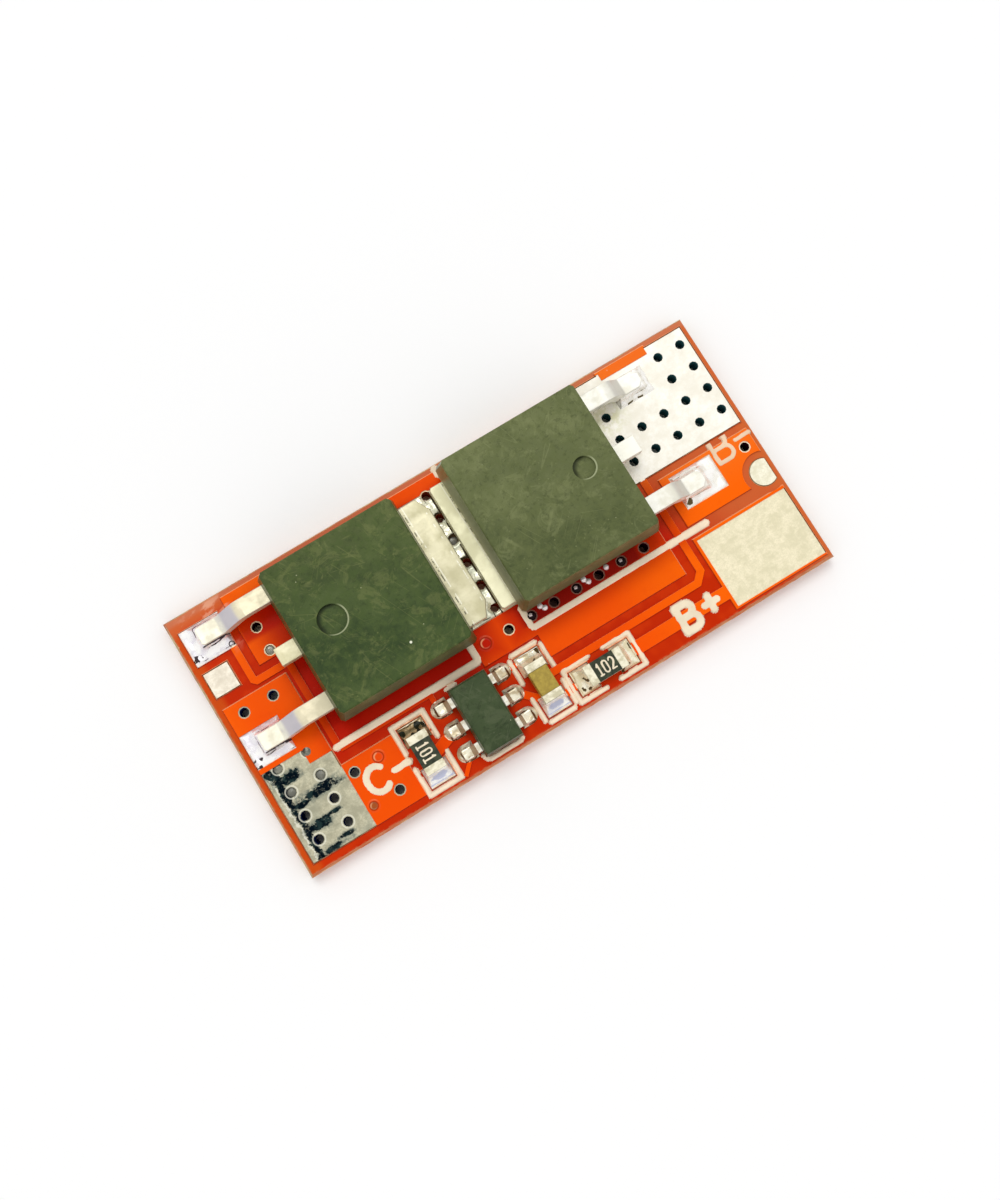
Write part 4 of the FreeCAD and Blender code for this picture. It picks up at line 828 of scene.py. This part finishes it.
lines = [strokes([points], LINE_WIDE, 0.045, number) for number, points in enumerate(LINES)]
lines += [strokes([points], LINE_FINE, 0.032, 10 + number)
          for number, points in enumerate(FINE_LINES)]
add_piece("printed_lines", gather(lines), INK, replaces=("silk_lines",))


def b_mark(x, y, wide, tall):
    """A capital B from its lower left corner, as two bowls on a stem."""
    waist = y + tall * 0.52
    upper = arc(x + wide * 0.56, (waist + y + tall) / 2, (y + tall - waist) / 2, -90, 90, 8)
    lower = arc(x + wide * 0.62, (waist + y) / 2, (waist - y) / 2, -90, 90, 8)
    return [[(x, y), (x, y + tall)],
            [(x, waist)] + upper + [(x, y + tall)],
            [(x, y)] + lower + [(x, waist)]]


# Capitals and signs beside the terminals; the faded B stops at its pad's edge
C_MARK = [arc(-7.62, -3.67, 0.42, 48, 312, 18, 1.18)]
MINUS_MARK = [[(-6.93, -3.7), (-6.32, -3.7)]]
PLUS_MARK = [[(6.19, -4.54), (6.74, -4.54)], [(6.465, -4.81), (6.465, -4.27)]]
B_MINUS_EDGE = 0.71
letters = [strokes(C_MARK, 0.28, 0.035, 31), strokes(MINUS_MARK, 0.27, 0.035, 32),
           strokes(b_mark(5.14, -5.05, 0.66, 1.0), 0.3, 0.035, 33),
           strokes(PLUS_MARK, 0.29, 0.035, 34)]
add_piece("terminal_marks", gather(letters), LETTER_INK)
letters = [strokes(b_mark(9.69, -0.24, 0.72, 1.06), 0.19, 0.03, 35,
                   keep=lambda x, y: y < B_MINUS_EDGE - 0.03),
           strokes([[(10.68, 0.27), (11.28, 0.27)]], 0.18, 0.03, 36)]
add_piece("faded_marks", gather(letters), PINK_INK)


# Numbers on the resistors
def digit(character, x, y, wide, tall):
    """Lines of a 0, 1 or 2 from its lower left corner."""
    middle = x + wide / 2
    if character == "1":
        return [[(middle - wide * 0.3, y + tall * 0.8), (middle, y + tall), (middle, y)],
                [(middle - wide * 0.4, y), (middle + wide * 0.4, y)]]
    if character == "2":
        bowl = arc(middle, y + tall * 0.7, wide / 2, 160, -30, 8, tall * 0.6 / wide)
        return [bowl + [(x, y)], [(x, y), (x + wide, y)]]
    round_top = arc(middle, y + tall - wide / 2, wide / 2, 0, 180, 6)
    round_foot = arc(middle, y + wide / 2, wide / 2, 180, 360, 6)
    return [round_top + round_foot + [round_top[0]]]


DIGIT_WIDE, DIGIT_TALL, DIGIT_PITCH = 0.17, 0.46, 0.27


def code(name, node, text, turned):
    """A number printed across a resistor's coat, reading along the part."""
    middle = middle_of(node)
    top = limits_of(node)[5] + 0.006
    surfaces = []
    for number, character in enumerate(text):
        group = []
        left = (number - 1) * DIGIT_PITCH - DIGIT_WIDE / 2
        for points in digit(character, left, -DIGIT_TALL / 2, DIGIT_WIDE, DIGIT_TALL):
            if turned:
                points = [(y, -x) for x, y in points]
            group.append([(middle[0] + x, middle[1] + y) for x, y in points])
        surfaces.append(strokes(group, 0.08, 0.018, 50 + number, top, 0.03))
    add_piece(name, gather(surfaces), LETTER_INK)


code("resistor_a_number", "resistor_a_coat", "101", True)
code("resistor_b_number", "resistor_b_coat", "102", False)


# Solder
def off_block(x, y, limits):
    """Distance from a place to a rectangle; negative inside it."""
    dx = max(limits[0] - x, x - limits[1])
    dy = max(limits[2] - y, y - limits[3])
    if dx > 0 and dy > 0:
        return math.hypot(dx, dy)
    return max(dx, dy)


def puddle(limits, foot, tall, spread, seed, bulge=0.12, off_pad=None, step=0.03):
    """Solder over a pad, climbing to the foot that stands in it and thin at the pad's edge."""
    off_pad = off_pad or (lambda x, y: off_block(x, y, limits))

    def height(x, y):
        climb = tall * math.exp(-((max(off_block(x, y, foot), 0.0) / spread) ** 1.3))
        inside = -off_pad(x, y) + 0.03 * wobble(x, y, 5.0, seed)
        rim = min(max(inside / bulge, -1.0), 1.0)
        film = 0.05 * rim if rim < 0 else 0.05 * math.sin(rim * math.pi / 2)
        swell = 0.035 * wobble(x, y, 2.2, seed + 3) * max(rim, 0.0)
        edge = min(max(inside / 0.1, 0.0), 1.0)
        return COPPER_TOP - 0.005 + film + climb * edge + swell

    room = 0.03
    return relief(grown(*limits, room), step, height, lambda x, y: off_pad(x, y) < room)


def foot_of(node, side, long):
    """The part of a package lead that lies flat: its last stretch in the direction of side."""
    x0, x1, y0, y1 = limits_of(node)[:4]
    return (x0, x0 + long, y0, y1) if side < 0 else (x1 - long, x1, y0, y1)


FEET = {side + lead: foot_of(side + "_fet" + lead + "_lead", sign, long)
        for side, sign, long in (("left", -1, 1.1), ("right", 1, 1.05))
        for lead in ("_gate", "_source")}
# The outlines of their pads' solder
POOLS = {
    "left_gate": (-11.19, -9.58, 3.38, 4.8),
    "left_source": (-11.19, -9.58, -1.1, 0.32),
    "right_gate": (7.65, 9.5, -1.1, 0.32),
    "right_source": (7.55, 9.12, 3.55, 4.68),
}


def ridge(value, half):
    """1 where a value is near nought, falling to 0 at half."""
    return max(0.0, 1.0 - abs(value) / half)


LEFT_RING = (-9.68, 3.47)


def left_grime_and_shadow(x, y):
    """Thin dark flux lines round the feet's toes, a painted shadow under the feet's lower edges,
    and specks in the pools' lower corners.
    """
    most = 0.0
    for end in ("left_gate", "left_source"):
        foot, pool = FEET[end], POOLS[end]
        away = off_block(x, y, foot)
        if away > 0.8:
            continue
        ring = ridge(away - 0.09 - 0.05 * wobble(x, y, 3.0, 5), 0.035)
        ring *= 0.8 + 0.8 * wobble(x, y, 1.9, 9)
        # Painted shadow under the foot's lower edge
        low = ridge(away - 0.02, 0.05) * (y < foot[2]) * 0.9
        corner = max(0.0, 1.0 - math.hypot(x - pool[0] - 0.12, (y - pool[2] - 0.12) * 1.3) / 0.5)
        speck = 1.5 * corner if wobble(x, y, 6.0, 23) > 0.12 else 0.0
        edge = ridge(y - pool[2] - 0.05, 0.035) * (0.5 + 1.2 * wobble(x, y, 2.4, 29))
        most = max(most, ring, low, speck, edge)
    return max(most, 1.1 * ridge(apart(x, y, LEFT_RING) - 0.1, 0.04))


def right_grime(x, y):
    """A flux stain along the upper lead's lower edge and thin lines round both toes."""
    stain = 0.42 * max(0.0, 1.0 - math.hypot((x - 7.55) / 0.6, (y - 3.88) / 0.16))
    dashes = ridge(y - 3.6 - 0.05 * wobble(x, y, 2.0, 3), 0.045) * (7.7 < x < 8.6)
    dashes *= 1.4 if wobble(x, y, 3.0, 7) > -0.1 else 0.0
    blob = math.hypot((x - 7.86) * 0.7, y + 0.9) < 0.07 + 0.2 * wobble(x, y, 5.0, 47)
    most = max(1.3 * stain, dashes, 0.8 * blob)
    for name in ("right_gate", "right_source"):
        away = off_block(x, y, FEET[name])
        thin = ridge(away - 0.1 - 0.05 * wobble(x, y, 2.0, 31), 0.03)
        most = max(most, thin * (0.62 + 0.5 * wobble(x, y, 1.5, 37)))
    return most


# How high solder climbs the leads
LEAD_CLIMB = 0.3


def lead_pools(side, seed, overlay):
    """The pools at the ends of one package's two outer leads."""
    surfaces = [puddle(POOLS[end], FEET[end], LEAD_CLIMB, 0.15, seed + 3 * number)
                for number, end in enumerate((side + "_gate", side + "_source"))]
    add_piece(side + "_lead_pools", gather(surfaces), SOLDERS[side],
              replaces=("fet_lead_solder",), overlay=overlay)


lead_pools("left", 61, left_grime_and_shadow)
lead_pools("right", 67, right_grime)

# A small part's half length and width, and how far its pads reach past its ends and sides
PART_LONG, PART_WIDE, PAD_PAST_END, PAD_PAST_SIDE = 0.8, 0.41, 0.44, 0.08


def end_pool(node, along_x, sign, tall, seed):
    """Solder that climbs one end of a resistor or the capacitor in a hollow curve."""
    x, y = middle_of(node)
    ends = sorted((sign * (PART_LONG - 0.3), sign * (PART_LONG + PAD_PAST_END)))
    inner = sorted((sign * (PART_LONG - 0.3), sign * (PART_LONG - 0.01)))
    pad = (-PART_WIDE - PAD_PAST_SIDE, PART_WIDE + PAD_PAST_SIDE, *ends)
    block = (-PART_WIDE, PART_WIDE, *inner)
    if along_x:
        pad = (*pad[2:], *pad[:2])
        block = (*block[2:], *block[:2])
    moved = [tuple(value + (x, x, y, y)[number] for number, value in enumerate(limits))
             for limits in (pad, block)]
    return puddle(*moved, tall, 0.15, seed, bulge=0.06, step=0.025)


def speckle(seed, share):
    """Grime in small ragged blots."""
    def overlay(x, y):
        return 0.9 if wobble(x, y, 4.2, seed) > share else 0.0
    return overlay


def bluish(x, y):
    """A painted reflection: a lavender oval in the middle of each hollow."""
    centers = (middle_of("resistor_a_caps"), middle_of("capacitor_caps"))
    near = min(centers, key=lambda place: apart(x, y, place))
    far = math.hypot((x - near[0]) / 0.26, (y - near[1] + 0.97) / 0.09)
    rim = ridge(y - near[1] + 1.17, 0.04) * (0.8 + wobble(x, y, 3.0, 18))
    return max(0.0, rim, 1.2 - 0.6 * far + 0.4 * wobble(x, y, 3.0, 8))


for name, ends, overlay in (
        ("smoked_pool", [("resistor_a_caps", False, 1, 0.3, 81)], speckle(4, 0.05)),
        ("bluish_pools", [("resistor_a_caps", False, -1, 0.34, 83),
                          ("capacitor_caps", False, -1, 0.46, 85)], bluish),
        ("pale_pools", [("resistor_b_caps", True, -1, 0.34, 87),
                        ("resistor_b_caps", True, 1, 0.34, 89),
                        ("capacitor_caps", False, 1, 0.46, 91)], speckle(12, 0.34))):
    add_piece(name, gather([end_pool(*end) for end in ends]), SOLDERS[name.split("_")[0]],
              replaces=("passive_solder",), overlay=overlay)

CHIP_TOE = limits_of("chip_leads")[1] - CHIP_X
CHIP_PITCH, FOOT_LONG, FOOT_HALF = 0.95, 0.34, 0.2
# The chip's pads: their shift along Y, half width, length and reach past the leads' toes
CHIP_SHIFT, LAND_HALF, LAND_LONG, LAND_TOE = 0.06, 0.31, 0.66, 0.2


def chip_foot(side, row):
    """The flat end of a chip lead."""
    ends = sorted((CHIP_X + side * (CHIP_TOE - FOOT_LONG), CHIP_X + side * CHIP_TOE))
    middle = CHIP_Y + row * CHIP_PITCH
    return (*ends, middle - FOOT_HALF, middle + FOOT_HALF)


def chip_pool(side, row):
    """Solder over a chip pad, whose outer end is round."""
    y = CHIP_Y + CHIP_SHIFT + row * CHIP_PITCH
    toe = CHIP_X + side * (CHIP_TOE + LAND_TOE)
    turn = toe - side * LAND_HALF
    root = toe - side * LAND_LONG
    edges = y - LAND_HALF, y + LAND_HALF
    straight = (*sorted((root, turn)), *edges)

    def off_pad(px, py):
        return min(off_block(px, py, straight), apart(px, py, (turn, y)) - LAND_HALF)

    return puddle((*sorted((root, toe)), *edges), chip_foot(side, row), 0.12, 0.1,
                  95 + side + 3 * row, 0.07, off_pad, 0.022)


def chip_grime(x, y):
    """A brown moat between each lead and the rim of its pad."""
    row = round((y - CHIP_Y) / CHIP_PITCH)
    side = -1 if x < CHIP_X else 1
    moat = ridge(off_block(x, y, chip_foot(side, row)) - 0.06, 0.09)
    return 0.9 * moat * (0.75 + 0.6 * wobble(x, y, 3.0, 41))


chip_pools = [chip_pool(side, row) for side in (-1, 1) for row in (-1, 0, 1)]
add_piece("chip_pools", gather(chip_pools), SOLDERS["chip"], replaces=("chip_solder",),
          overlay=chip_grime)


# Solder in the holes and beads beside them
def dome(x, y, radius, low, tall, seed):
    """A low swell of solder with an uneven rim."""
    def height(px, py):
        far = apart(px, py, (x, y)) / radius + 0.05 * wobble(px, py, 6.0, seed)
        return low + tall * math.sqrt(max(1 - min(far, 1.0) ** 2, 0.0)) - max(far - 1, 0.0) * 0.2
    return relief(grown(x, x, y, y, radius * 1.2), radius / 8, height,
                  lambda px, py: apart(px, py, (x, y)) < radius * 1.12)


DOME_RADIUS, BEAD_RADIUS, PLUG_RADIUS = 0.19, 0.12, 0.2
# The front row's filled holes and the beads beside them
ROW_DOMES = [(0.42 + number, -1.45) for number in (0, 2, 4)]
BEADS = ((0.88, -1.3), (1.0, -1.45), (2.82, -1.3), (2.94, -1.46), (3.8, -1.34))
NOTCH_HOLE = (-9.35, -1.42)
SUNK = list(C_HOLES[4:]) + [(-8.59, 2.54), (-0.6, 2.53)]


def dome_painted_shade(x, y):
    """Painted shade all over the domes but for a glint towards the light."""
    nearest = min(ROW_DOMES + list(BEADS), key=lambda place: apart(x, y, place))
    if nearest in BEADS:
        return 0.0
    return 0.0 if apart(x + 0.03, y - 0.04, nearest) < 0.07 else 0.9


def plug_grime(x, y):
    """Tarnish all over the plugs, heavier on the one at the notch of the C pad."""
    tarnish = 0.16 + 0.4 * max(0.0, wobble(x, y, 6.0, 51))
    return tarnish + 0.24 if apart(x, y, NOTCH_HOLE) < 0.3 else tarnish


beads = [dome(x, y, DOME_RADIUS, COPPER_TOP - 0.04, 0.16, 101) for x, y in ROW_DOMES]
beads += [dome(x, y, BEAD_RADIUS, MASK_TOP - 0.02, 0.09, 104) for x, y in BEADS]
add_piece("row_domes", gather(beads), SOLDERS["beads"], replaces=("via_solder",),
          overlay=dome_painted_shade)
plugs = [dome(x, y, PLUG_RADIUS, COPPER_TOP - 0.09, 0.05, 107) for x, y in SUNK]
add_piece("sunk_plugs", gather(plugs), SOLDERS["dull"], replaces=("via_solder",),
          overlay=plug_grime)
add_piece("notch_plug", dome(*NOTCH_HOLE, PLUG_RADIUS, MASK_TOP - 0.03, 0.05, 109),
          SOLDERS["dull"], overlay=plug_grime)


def tent(x, y, ring):
    """The mask over a covered hole: a raised ring round a shallow dip."""
    def height(px, py):
        far = apart(px, py, (x, y))
        swell = 0.03 * math.exp(-(((far - ring) / 0.06) ** 2))
        dip = 0.05 * math.exp(-((far / (ring * 0.7)) ** 2))
        level = 0.003 if far < ring + 0.1 else -0.006
        return MASK_TOP + level + swell - dip
    return relief(grown(x, x, y, y, ring + 0.16), 0.022, height,
                  lambda px, py: apart(px, py, (x, y)) < ring + 0.14)


add_piece("covered_holes", gather([tent(*hole[:3]) for hole in TENTED]), MASK)


# The solder pool between the two tabs
GAP_HOLES = [(-0.6, -0.47 + row) for row in range(6)]
POOL_LIMITS = limits_of("tab_solder")[:4]
LEFT_TAB_EDGE = limits_of("left_fet_drain")[1]
RIGHT_TAB_EDGE = limits_of("right_fet_drain")[0]


def tab_pool():
    """A level sheet of solder, open at the holes and falling away at its edge."""
    def height(x, y):
        level = COPPER_TOP + 0.09 + 0.05 * wobble(x, y, 2.6, 121)
        for hole in GAP_HOLES:
            level -= 0.12 * math.exp(-((apart(x, y, hole) / 0.2) ** 4))
        inside = -off_block(x, y, POOL_LIMITS)
        return level if inside > 0.05 else level - (0.05 - inside) * 2

    def keep(x, y):
        away = min(apart(x, y, hole) for hole in GAP_HOLES)
        return away > 0.17 and off_block(x, y, POOL_LIMITS) < 0.02

    return relief(POOL_LIMITS, 0.03, height, keep)


def gap_grime(x, y):
    """Brown flux round the holes and dark lines where the pool meets the tabs."""
    burnt = 0.0
    for hole_x, hole_y in GAP_HOLES[1:5]:
        away = math.hypot((x - hole_x) * 0.9, y - hole_y - 0.06)
        burnt = max(burnt, 1.3 - away / 0.24 + 0.6 * wobble(x, y, 3.0, 61))
    left = ridge(x - LEFT_TAB_EDGE - 0.02, 0.035) * (0.7 + 0.9 * wobble(x, y, 2.2, 63))
    right = ridge(x - RIGHT_TAB_EDGE + 0.03, 0.07) * (0.85 + 1.1 * wobble(x, y, 1.2, 67))
    low = ridge(wobble(x, y, 1.3, 71) * 0.5 + (y + 0.62), 0.05) * (x < -0.9)
    return max(burnt, left, right, low)


add_piece("tab_pool", tab_pool(), SOLDERS["gap"], replaces=("tab_solder",),
          overlay=gap_grime)
